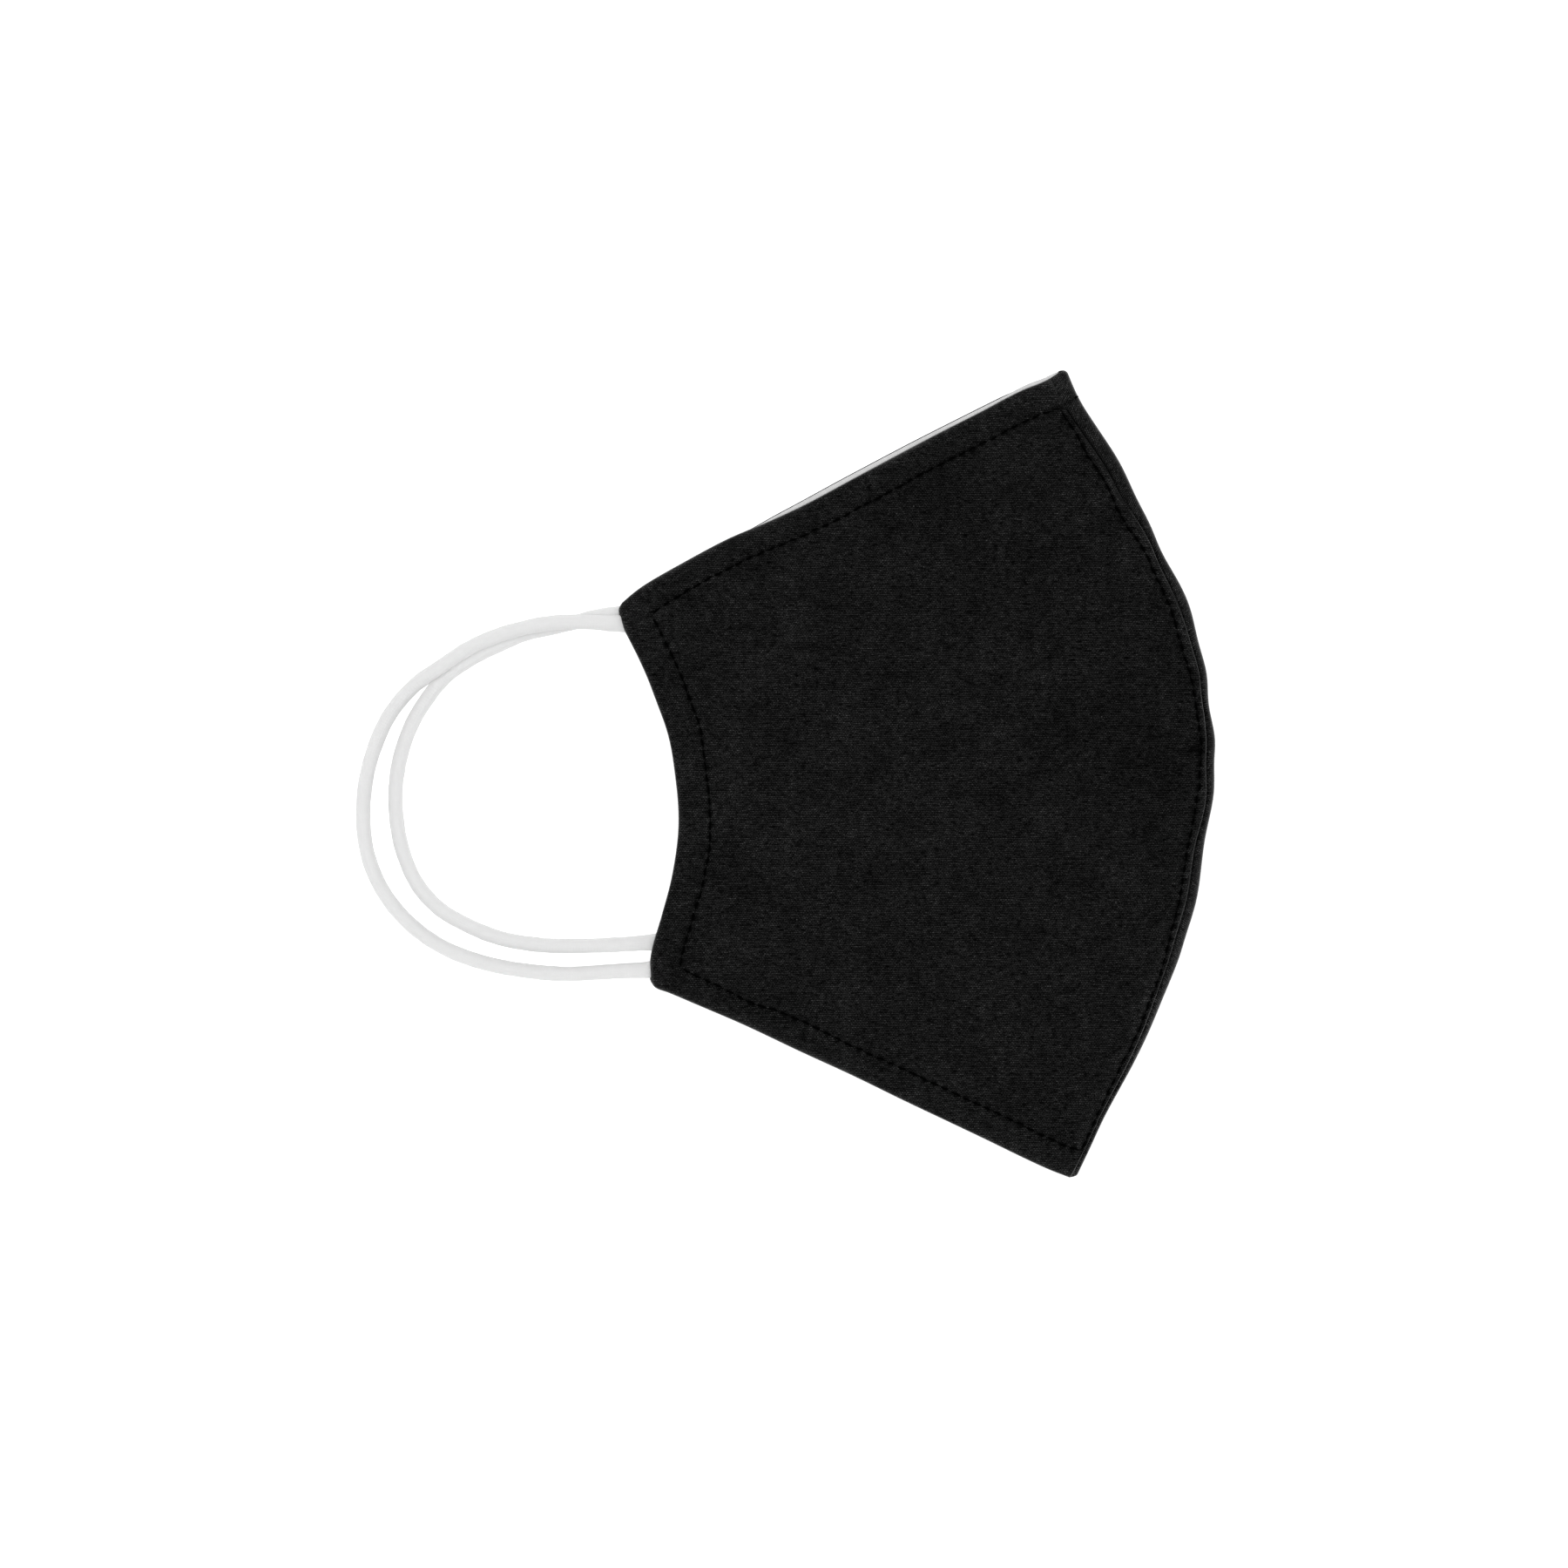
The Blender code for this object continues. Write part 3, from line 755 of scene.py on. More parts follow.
def sewn_sheet(face, outward, relief, pattern, thickness, hem_roll, seam_roll, hem_turn, seam_turn, lip):
    """Points, quads, pattern and outer grid of a closed sheet whose outer face is the given grid.

    outward is 1 where the outer face is the grid's upper side and -1 where it is the lower one. relief raises
    the outer face. hem_roll and seam_roll are the roll's radii at the hems and at the centre seam, and
    hem_turn and seam_turn the angles that the cloth goes on past the edge, then straight on by lip."""
    upward, distance, inward = measure_grid(face)
    from_hem = np.minimum.reduce([distance[side] for side in ("ear", "nose", "chin")])
    by_hem = 1 - smooth_step(from_hem, 1.0 * MM, FADE_REACH)
    by_hem = by_hem * smooth_step(np.abs(upward[..., 2]), FLAT_FROM, FLAT_AT)
    vertical = np.sign(upward[..., 2:]) * [0.0, 0.0, 1.0]
    square = outward * unit(upward + by_hem[..., None] * (vertical - upward))
    by_seam = 1 - smooth_step(distance["seam"], 1.0 * MM, FADE_REACH)
    by_seam *= smooth_step(np.minimum(distance["nose"], distance["chin"]), 0.0, SEAM_MARGIN)
    roll = hem_roll + (seam_roll - hem_roll) * by_seam
    seam_wall = SEAM_WALL * seam_roll if seam_roll < hem_roll else thickness
    wall = thickness + (seam_wall - thickness) * by_seam
    turn_end = hem_turn + (seam_turn - hem_turn) * by_seam
    fade = {side: np.clip(1 - distance[side] / FADE_REACH, 0, 1)[..., None] for side in distance}
    inset_way = sum(fade[side] * inward[side] for side in distance)

    def layer(into):
        """The face moved in from its edges and down into the cloth by a depth."""
        radius = np.maximum(roll - into, 0.02 * MM)
        closeness = {}
        for side in distance:
            d = distance[side] + into * fade[side][..., 0]
            closeness[side] = np.clip((roll - d) / radius, 0, 1)
        a = np.maximum(closeness["ear"], closeness["seam"])
        b = np.maximum(closeness["nose"], closeness["chin"])
        c = np.clip(a**2 + b**2 - (a * b) ** 2, 0, 1)
        depth = roll - radius * np.sqrt(1 - c)
        return face + np.asarray(into)[..., None] * inset_way - depth[..., None] * square

    outer = layer(0.0 * roll) + relief[..., None] * square
    inner = layer(wall)
    rows, columns = face.shape[:2]
    index, border = border_of(rows, columns)

    def at_border(grid):
        """A grid's values at the border, in order."""
        return grid.reshape(rows * columns, -1)[border]

    edge, way, out = at_border(face), at_border(inset_way), at_border(square)
    r, t, end = at_border(roll), at_border(wall), at_border(turn_end)
    lift = at_border(relief[..., None] * square)
    rings, ring_pattern = [], []
    flat_way = at_border(pattern_steps(pattern, face, inset_way))
    for number in range(1, ROLL_RINGS + 1):
        turn = end * number / ROLL_RINGS
        ring = edge + (r - r * np.cos(turn)) * way - (r + r * np.sin(turn)) * out
        rings.append(ring + lift * (1 - number / ROLL_RINGS))
        ring_pattern.append(at_border(pattern) - r * turn * flat_way)
    sine, cosine = np.sin(end), np.cos(end)
    rings.append(rings[-1] + lip * (sine * way - cosine * out))
    rings.append(rings[-1] + t * (cosine * way + sine * out))
    rings.append(rings[-1] - lip * (sine * way - cosine * out))
    ring_pattern += [ring_pattern[-1] - lip * flat_way] * 3
    for number in range(ROLL_RINGS - 1, 0, -1):
        turn = end * number / ROLL_RINGS
        rings.append(edge + (r - (r - t) * np.cos(turn)) * way - (r + (r - t) * np.sin(turn)) * out)
        ring_pattern.append(ring_pattern[number - 1])

    points = np.concatenate([outer.reshape(-1, 3), *rings, inner.reshape(-1, 3)])
    flat_pattern = np.concatenate([pattern.reshape(-1, 2), *ring_pattern, pattern.reshape(-1, 2)])
    quads = np.stack([index[:-1, :-1], index[1:, :-1], index[1:, 1:], index[:-1, 1:]], axis=-1).reshape(-1, 4)
    first_inner = rows * columns + len(rings) * len(border)
    loops = [border]
    loops += [rows * columns + k * len(border) + np.arange(len(border)) for k in range(len(rings))]
    loops.append(first_inner + border)
    sides = [
        np.stack([a, b, np.roll(b, -1), np.roll(a, -1)], axis=-1) for a, b in zip(loops[:-1], loops[1:])
    ]
    faces = np.concatenate([quads, quads[:, ::-1] + first_inner, *sides])
    return round_corners(points) - MIDDLE, faces, flat_pattern, outer


def over_sheet(grid):
    """A grid's values for every point of the closed sheet: outer face, rings round the border, inner face."""
    _, border = border_of(*grid.shape)
    return np.concatenate([grid.ravel(), np.tile(grid.ravel()[border], 2 * ROLL_RINGS + 2), grid.ravel()])


def pattern_steps(pattern, face, way):
    """How far the pattern moves for a unit step in a direction on the face, as a plan vector."""
    across, along = unit(np.gradient(face, axis=0)), unit(np.gradient(face, axis=1))
    flat_across, flat_along = unit(np.gradient(pattern, axis=0)), unit(np.gradient(pattern, axis=1))
    share_across = np.einsum("...k,...k->...", way, across)[..., None]
    share_along = np.einsum("...k,...k->...", way, along)[..., None]
    return share_across * flat_across + share_along * flat_along


# %% [markdown]
# ## Black jersey
#
# The shell is a fine cotton jersey, black with a worn, dusty look close up: rows of small loops run across
# the face, some loops catch the light and others don't, and here and there a pale fibre lies in the knit. A
# brick pattern with offset rows gives each loop its own shade. Stretched noise joins loops into uneven
# rows, and broader noise gives the mottled patches. Sheen lightens the cloth where it turns away, as loose
# fibres do.

# %% Knitted loops
WALE_PITCH = 0.486  # millimetres from loop to loop along a row
ROW_HEIGHT = 0.335
KNIT_WANDER = (0.7, 0.55, 0.0)  # millimetres that the rows stray


def vector_node(tree, operation, first, second):
    """Result of one operation on two vectors."""
    inputs = [(0, first), (1, second)]
    return add_node(tree, "ShaderNodeVectorMath", inputs, operation=operation).outputs["Vector"]


jersey, tree, shader = new_finish("black_jersey", 0.95, 0.01)
place = pattern_in_mm(tree)
wander = add_node(tree, "ShaderNodeTexNoise", [("Vector", place), ("Scale", 0.35), ("Detail", 3.0)])
stray = vector_node(tree, "MULTIPLY", wander.outputs["Color"], KNIT_WANDER)
knit_place = vector_node(tree, "ADD", place, stray)
loop_sizes = [("Scale", 1.0), ("Mortar Size", 0.09), ("Mortar Smooth", 1.0), ("Bias", 0.0)]
loop_sizes += [("Brick Width", WALE_PITCH), ("Row Height", ROW_HEIGHT)]
loop_greys = {"Color1": 0.0, "Color2": 1.0, "Mortar": 0.5}
loop_colours = [(name, (grey, grey, grey, 1.0)) for name, grey in loop_greys.items()]
loops = add_node(tree, "ShaderNodeTexBrick", [("Vector", knit_place), *loop_sizes, *loop_colours], offset=0.5)
across_rows, along_rows = split_xy(tree, knit_place)
row_wave = wave(tree, along_rows, 2 * ROW_HEIGHT)
wale_wave = wave(tree, across_rows, WALE_PITCH, "COSINE")
loop_height = math_node(tree, "MULTIPLY_ADD", wale_wave, 0.45, row_wave)
loop_height = math_node(tree, "MULTIPLY", row_wave, loop_height)
print("loops of", WALE_PITCH, "by", ROW_HEIGHT, "mm")

# %% [markdown]
# No two loops of worn jersey are equally light. Each source below changes the shade by a factor round 1:
# each loop by itself, uneven yarn along a row, mottled patches, broad clouds and a fine grain. Raised hairs
# add some light.

# %% Uneven yarn and hairs
SHADE_FLOOR = 0.03  # least that one source leaves of the light
HAIR_LIGHT = 0.42


def centred(tree, value, amount):
    """A noise value as a factor round 1."""
    return math_node(tree, "MULTIPLY_ADD", value, amount, 1.0 - amount / 2)


shade = math_node(tree, "MAXIMUM", math_node(tree, "ADD", loop_height, 0.10), 0.0)
slubs = noise(tree, vector_node(tree, "MULTIPLY", place, (0.9, 2.2, 1.0)), 1.0, detail=1.0)
patches = noise(tree, vector_node(tree, "MULTIPLY", place, (0.7, 1.0, 1.0)), 0.55, detail=2.0)
clouds = noise(tree, place, 0.10, detail=2.0)
grain = noise(tree, place, 4.5, detail=1.0)
each_loop = loops.outputs["Color"]
for value, amount in ((each_loop, 0.8), (slubs, 3.2), (patches, 1.8), (clouds, 1.4), (grain, 5.8)):
    factor = math_node(tree, "MAXIMUM", centred(tree, value, amount), SHADE_FLOOR)
    shade = math_node(tree, "MULTIPLY", shade, factor)
hair_inputs = [("Vector", place), ("Rotation", (0.0, 0.0, 0.9)), ("Scale", (0.35, 2.4, 1.0))]
hair_place = add_node(tree, "ShaderNodeMapping", hair_inputs).outputs["Vector"]
hairs = add_node(tree, "ShaderNodeTexVoronoi", [("Vector", hair_place), ("Scale", 0.5), ("Randomness", 1.0)])
hair = math_node(tree, "LESS_THAN", hairs.outputs["Distance"], 0.07)
shade = math_node(tree, "ADD", shade, math_node(tree, "MULTIPLY", hair, HAIR_LIGHT))

# %% [markdown]
# The mesh carries three numbers for the material: the painted light and shade of the cloth, and how far
# beside and along a stitch line each point lies. Along a line, painted shade darkens a noisy band in the
# groove that the stitches pull, widest at each stitch.

# %% Painted light and shade from the mesh, and painted shade in the stitch grooves
# Painted shade in the groove beside each stitch line
GROOVE_SHADOW_NOISE = 1.6  # half width in millimetres, times a noise
GROOVE_SHADOW_BY_STITCH = 0.30  # how much wider it is at a stitch and narrower between two, in millimetres
GROOVE_SHADOW_OFFSET = -0.46  # millimetres taken off the half width
GROOVE_SHADOW_LEAST = 0.10
GROOVE_SHADOW_DARKNESS = 0.34
GROOVE_SHADOW_EDGE = (0.4, 1.5)  # shares of the half width between which the shade fades out


def mark_on_mesh(tree, name):
    """A number that the mesh carries for each point."""
    return add_node(tree, "ShaderNodeAttribute", attribute_name=name).outputs["Fac"]


painted_light_and_shade, beside, along = (mark_on_mesh(tree, name) for name in ("shade", "beside_stitches", "along_stitches"))
by_stitch = math_node(tree, "MULTIPLY_ADD", wave(tree, along, 1.0, "COSINE"), -GROOVE_SHADOW_BY_STITCH, GROOVE_SHADOW_OFFSET)
groove_shadow_width = math_node(tree, "MULTIPLY_ADD", noise(tree, place, 1.0), GROOVE_SHADOW_NOISE, by_stitch)
groove_shadow_width = math_node(tree, "MAXIMUM", groove_shadow_width, GROOVE_SHADOW_LEAST)
off_line = math_node(tree, "DIVIDE", math_node(tree, "ABSOLUTE", beside), groove_shadow_width)
limits = [("From Min", GROOVE_SHADOW_EDGE[0]), ("From Max", GROOVE_SHADOW_EDGE[1]), ("To Min", GROOVE_SHADOW_DARKNESS), ("To Max", 1.0)]
limits.append(("Value", off_line))
groove_shadow = add_node(tree, "ShaderNodeMapRange", limits, interpolation_type="SMOOTHSTEP").outputs["Result"]
# The mesh's painted light and shade and the painted shade in the stitch grooves lighten or darken the cloth
shade = math_node(tree, "MULTIPLY", shade, math_node(tree, "MULTIPLY", painted_light_and_shade, groove_shadow))

# %% [markdown]
# Here and there a pale fibre lies in the knit. The shade then picks a colour from a ramp that stays nearly
# black, and where the cloth turns away from the eye, a sheen stands for its loose fibres.

# %% Black jersey
FIBRE_LIGHT = 4.0
JERSEY_GREYS = [(0.0, 0.0004), (0.17, 0.0127), (0.42, 0.0224), (1.0, 0.056)]
SHADE_SPAN = 5.0  # the shade that gets the last of these greys
EDGE_SHEEN = 0.35

fibres = add_node(tree, "ShaderNodeTexVoronoi", [("Vector", place), ("Scale", 0.18), ("Randomness", 1.0)])
fibre = math_node(tree, "LESS_THAN", fibres.outputs["Distance"], 0.022)
shade = math_node(tree, "MAXIMUM", shade, math_node(tree, "MULTIPLY", fibre, FIBRE_LIGHT))
colour_by(tree, shader, math_node(tree, "MULTIPLY", shade, 1 / SHADE_SPAN), JERSEY_GREYS)
edge_on = add_node(tree, "ShaderNodeLayerWeight", [("Blend", 0.5)]).outputs["Facing"]
sheen = math_node(tree, "MULTIPLY", math_node(tree, "POWER", edge_on, 1.5), EDGE_SHEEN)
tree.links.new(sheen, shader.inputs["Sheen Weight"])
knit_height = math_node(tree, "ADD", loop_height, math_node(tree, "MULTIPLY", slubs, 1.2))
add_bump(tree, shader, knit_height, 0.05 * MM, 0.6)
print("black jersey is ready")

# %% [markdown]
# ## White cotton
#
# The lining is a smooth white cotton, a shade greyer than the elastic. Its weave is far too fine to see
# from above, so it only roughens the surface: two crossed sets of threads and a little unevenness.

# %% Lining material
THREAD_PITCH = 0.30  # millimetres

cotton, tree, shader = new_finish("white_cotton", 0.9, 0.15, sheen=0.08)
place = pattern_in_mm(tree)
warp, weft = (wave(tree, value, THREAD_PITCH) for value in split_xy(tree, place))
uneven = noise(tree, place, 0.6)
weave = math_node(tree, "MULTIPLY", warp, weft)
weave = math_node(tree, "ADD", weave, math_node(tree, "MULTIPLY", uneven, 1.5))
colour_by(tree, shader, uneven, [(0.3, 0.62), (0.7, 0.70)])
add_bump(tree, shader, weave, 0.03 * MM)
print("white cotton is ready")

# %% [markdown]
# ## The near half's shell
#
# The upper half rises from the round rim to a low crown and opens into the mouth at the ear hem. On that
# base come the marks of sewing: the hem is a little padded, the topstitching pulls a groove into it, and
# the cloth puckers across the stitches.

# %% Face of the near half
MOUTH_RISE = 5.5 * MM
CROWN_RISE = 5.5 * MM
CROWN_FULLNESS = 0.9


def near_top(u, v):
    """Upper face of the near half: the rim's round edge, plus a crown (1 - u)^2 and sin(pi u), both shaped
    along the half by sin(pi v)^0.9."""
    plan = patch(u, v, near_ear, near_seam, near_nose, near_chin)
    width = np.linalg.norm(near_seam(v) - near_ear(v), axis=-1)
    inside_rim = seam_strip(v) + (1 - u) * width
    short_of_top = np.clip(RIM_RADIUS - inside_rim, 0, RIM_RADIUS)
    edge_height = RIM_RADIUS + np.sqrt(RIM_RADIUS**2 - short_of_top**2)
    across = MOUTH_RISE * (1 - u) ** 2 + CROWN_RISE * np.sin(math.pi * u)
    along = np.sin(math.pi * np.clip(v, 0, 1)) ** CROWN_FULLNESS
    return np.concatenate([plan, (edge_height + across * along)[..., None]], axis=-1)


def cloth_waves(plan, length, seed, count=9):
    """Smooth random relief: the sum of plane waves with seeded directions, lengths and phases."""
    dice = np.random.default_rng(seed)
    turn = dice.uniform(0, 2 * np.pi, count)
    steps = 2 * np.pi / (length * dice.uniform(0.7, 1.6, count))
    phase = dice.uniform(0, 2 * np.pi, count)
    across = plan[..., :1] * np.cos(turn) * steps + plan[..., 1:2] * np.sin(turn) * steps
    return np.sin(across + phase).sum(axis=-1) / math.sqrt(count / 2)


# %% [markdown]
# ## Where the stitches run
#
# The topstitching follows each edge at a distance that wanders by a few tenths, as a hand-guided seam does.
# The distances are tables again. A line of stitches is found where the grid's lines first reach that
# distance, and it stops where it meets the stitches of the next side.

# %% Stitch lines
STITCH_PITCH = 2.2 * MM
HEMS = ("nose", "chin")
STOPS_AT = {"nose": ("ear",), "chin": ("ear",), "ear": HEMS, "seam": HEMS}

# Distance of the topstitching from each edge, in millimetres
NOSE_STITCH_INSET = (
    # along from the ear, inset
    (0.00, 5.5), (0.10, 5.3), (0.20, 5.1), (0.32, 5.1), (0.50, 5.4), (0.70, 5.4), (0.85, 5.4), (1.00, 5.7),
)
EAR_STITCH_INSET = (
    # along from the chin, inset
    (0.00, 5.4), (0.20, 5.8), (0.35, 6.1), (0.50, 5.8), (0.65, 6.0), (0.85, 5.9), (1.00, 5.6),
)
CHIN_STITCH_INSET = (
    # along from the ear, inset
    (0.00, 5.4), (0.12, 5.0), (0.22, 4.5), (0.34, 5.5), (0.45, 5.1), (0.60, 5.3), (1.00, 5.3),
)
CENTRE_STITCH_INSET = (
    # along from the chin, distance inside the rim
    (0.00, 1.1), (0.06, 1.1), (0.11, 1.6), (0.20, 1.85), (0.235, 1.85), (0.295, 2.6), (0.36, 3.0),
    (0.435, 2.6), (0.47, 2.85), (0.50, 2.5), (0.56, 2.4), (0.59, 2.35), (0.63, 3.0), (0.675, 3.1),
    (0.736, 3.2), (0.775, 2.7), (0.81, 3.6), (0.87, 3.9), (0.90, 4.2), (0.93, 3.7), (1.00, 4.1),
)


def crossing(values, level, fields):
    """Where grid lines along the first axis first reach a level, and the fields there."""
    last = np.maximum(np.argmax(values >= level, axis=0), 1)[None]
    before, after = np.take_along_axis(values, last - 1, 0), np.take_along_axis(values, last, 0)
    goal = np.take_along_axis(level, last, 0)
    share = np.clip((goal - before) / (after - before), 0, 1)[0]
    found = []
    for field in fields:
        index, weight = (last[..., None], share[..., None]) if field.ndim == 3 else (last, share)
        low, high = np.take_along_axis(field, index - 1, 0)[0], np.take_along_axis(field, index, 0)[0]
        found.append(low + (high - low) * weight)
    return found


def stitch_line(points, square, distance, inset, side):
    """One side's stitch line, a point for each grid line that crosses it: points, normals, the length along
    it, and which of them lie between the lines that it stops at."""
    fields = [points, square] + [distance[other] - inset[other] for other in STOPS_AT[side]]
    if side in HEMS:
        fields.append(distance["seam"] - 0.5 * MM)
    values, level = distance[side], inset[side]
    if side in HEMS:
        values, level, fields = values.T, level.T, [np.swapaxes(field, 0, 1) for field in fields]
    if side in ("nose", "seam"):
        values, level, fields = values[::-1], level[::-1], [field[::-1] for field in fields]
    line, normals, *margins = crossing(values, level, fields)
    kept = np.minimum.reduce(margins) > -0.05 * MM
    along = path_length(line)
    return line, normals, along - along[np.argmax(kept)], kept


SEAM_SHIFT = 0.30 * MM  # the centre seam's stitches are moved in by this
SEAM_LEAST = 0.5 * MM  # and stay at least this far in


def stitch_insets(u, v):
    """Distance of each side's stitches from its edge, as grids."""
    return {
        "nose": MM * read_table(NOSE_STITCH_INSET, u),
        "ear": MM * read_table(EAR_STITCH_INSET, v),
        "chin": MM * read_table(CHIN_STITCH_INSET, u),
        "seam": np.maximum(MM * read_table(CENTRE_STITCH_INSET, v) - seam_strip(v) + SEAM_SHIFT, SEAM_LEAST),
    }


def stitch_lengths(face, distance, inset, sewn_sides):
    """Length along each side's stitch line, carried square to the line over the whole grid."""
    upward, _, _ = measure_grid(face)
    lengths = {}
    for side in sewn_sides:
        along = stitch_line(face, upward, distance, inset, side)[2]
        along = along[:, None] if side in HEMS else along[None]
        lengths[side] = np.broadcast_to(along, face.shape[:2])
    return lengths


# %% [markdown]
# ## Relief of the sewing
#
# Across a hem the relief is a padded band, a soft shoulder inside the stitches and the groove that they
# pull, which is deepest at each stitch. Ripples across the line are the puckers. Over the whole face run
# two sizes of soft waves, because cloth is never quite flat.

# %% Padding, groove and puckers
GROOVE_DEPTH = 0.45 * MM
GROOVE_WIDTH = 0.50 * MM
HEM_PADDING = 0.28 * MM
PUCKER_HEIGHT = 0.20 * MM
PUCKER_REACH = 4.0 * MM
GROOVE_BETWEEN = 0.35  # depth between two stitches, as a share
SHOULDER_PLACE, SHOULDER_WIDTH = 1.6 * MM, 1.2 * MM
PUCKERS = ((3.7, 0.5), (5.3, 0.6), (7.9, 0.6), (12.1, 0.5))  # lengths in millimetres, shares
SEAM_SHARE = 0.7  # of the padding and the groove, at the centre seam
BROAD_WAVES, FINE_WAVES = (0.10 * MM, 21 * MM), (0.035 * MM, 6 * MM)  # heights and lengths


def hem_relief(distance, inset, along, seed):
    """A padded band between the edge and the stitches, the groove that they pull, and puckers across it."""
    beside = distance - inset
    band = HEM_PADDING * np.sin(np.pi * np.clip(distance / inset, 0, 1)) ** 2
    shoulder = 0.5 * HEM_PADDING * np.exp(-(((beside - SHOULDER_PLACE) / SHOULDER_WIDTH) ** 2))
    on_stitch = 0.5 - 0.5 * np.cos(2 * np.pi * along / STITCH_PITCH)
    groove = GROOVE_DEPTH * (GROOVE_BETWEEN + (1 - GROOVE_BETWEEN) * on_stitch)
    groove = groove * np.exp(-((beside / GROOVE_WIDTH) ** 2))
    dice = np.random.default_rng(seed)
    reach = np.exp(-((beside / PUCKER_REACH) ** 2)) * np.clip(distance / (2 * MM), 0, 1)
    pucker = PUCKER_HEIGHT * ripples(along, PUCKERS, dice) * reach
    return band + shoulder - groove, pucker


def shell_relief(face, distance, inset, lengths, seed):
    """Relief of a half's outer face: soft waves of the cloth and the marks of its stitch lines."""
    (broad, broad_length), (fine, fine_length) = BROAD_WAVES, FINE_WAVES
    relief = broad * cloth_waves(face, broad_length, seed) + fine * cloth_waves(face, fine_length, seed + 1)
    inside = {side: smooth_step(distance[side] - inset[side], -0.6 * MM, 0.2 * MM) for side in lengths}
    for number, side in enumerate(lengths):
        sewn, pucker = hem_relief(distance[side], inset[side], lengths[side], seed + 10 + number)
        for other in STOPS_AT[side]:
            sewn, pucker = sewn * inside[other], pucker * inside[other]
        relief = relief + sewn * (SEAM_SHARE if side == "seam" else 1.0) + pucker
    nearest = np.minimum.reduce(list(distance.values()))
    return relief * smooth_step(nearest, 0.0, 1.2 * MM)


# %% [markdown]
# Three faint creases show in the near half, and its hem stands up a little where the loop's ends are caught
# in it. Both are added to the relief of this half alone.

# %% Creases and the loop's ends
CREASE_WIDTH = 0.9 * MM

# Faint creases in the near half: x and y in millimetres from the mask's middle, and a depth
CREASES = (
    (((-33.0, -23.6), (-32.3, -23.4), (-19.0, -20.8), (-6.9, -22.3), (-6.0, -22.5)), 0.14),
    (((34.0, 29.8), (42.0, 30.2), (48.5, 30.5)), 0.14),
    (((40.0, -3.3), (45.5, -3.4), (50.5, -3.5)), 0.16),
)

# Where the near loop's ends lie inside the ear hem: a hump runs in from the edge
CORD_HUMPS = (28.0, -36.4)  # y in millimetres
HUMP_HEIGHT = 0.7 * MM
HUMP_WIDTH = 1.7 * MM
HUMP_REACH = 6.5 * MM


def creases_and_humps(face, distance):
    """Creases, as grooves along smooth lines y(x), and humps that fade in from the ear edge."""
    x, y = np.moveaxis(face - MIDDLE, -1, 0)[:2] / MM
    relief = np.zeros_like(x)
    for rows, depth in CREASES:
        ends = rows[0][0], rows[-1][0]
        off_line = y - read_table(rows, np.clip(x, *ends))
        window = smooth_step(x, ends[0] - 2, ends[0] + 2) * (1 - smooth_step(x, ends[1] - 2, ends[1] + 2))
        relief -= depth * MM * window * np.exp(-((off_line * MM / CREASE_WIDTH) ** 2))
    fade = 1 - smooth_step(distance["ear"], 0.35 * HUMP_REACH, HUMP_REACH)
    fade = fade * smooth_step(distance["ear"], -0.2 * MM, 0.9 * MM)
    for y_end in CORD_HUMPS:
        relief += HUMP_HEIGHT * fade * np.exp(-(((y - y_end) * MM / HUMP_WIDTH) ** 2))
    return relief


# %% [markdown]
# Painted highlights lighten the cloth along its rolled edges and along the seam, and patches of painted light
# and shade make a few places lighter or darker than the rest, darkest in a crease. Painted shade darkens the
# ditch beside the centre seam. These factors are multiplied into one mark for each point.

# %% Painted light and shade
# Painted shade in the ditch beside the centre seam
DITCH_PAINTED_SHADE = 0.70
# Patches of painted light and shade: lighter or darker where the cloth slopes towards or away from the light,
# darkest in a crease
PAINTED_LIGHT_AND_SHADE_PATCHES = (
    # x, y in millimetres, radius, change
    (38.0, 6.0, 13.0, -0.31), (-27.0, -2.0, 18.0, 0.08), (12.0, 42.0, 16.0, -0.18), (24.7, 70.2, 3.5, 0.55),
    (-5.0, 55.0, 7.0, -0.20), (52.3, 5.2, 1.1, -0.88), (51.2, 4.6, 0.9, -0.80), (50.2, 4.0, 0.9, -0.60),
)
DITCH_WIDTH = 0.25 * MM
NEAR_PEAK = (0.955, 0.97)  # places along the seam between which the cloth starts to wrap askew
FAR_AWAY = 9.0  # millimetres, for points with no stitch line near


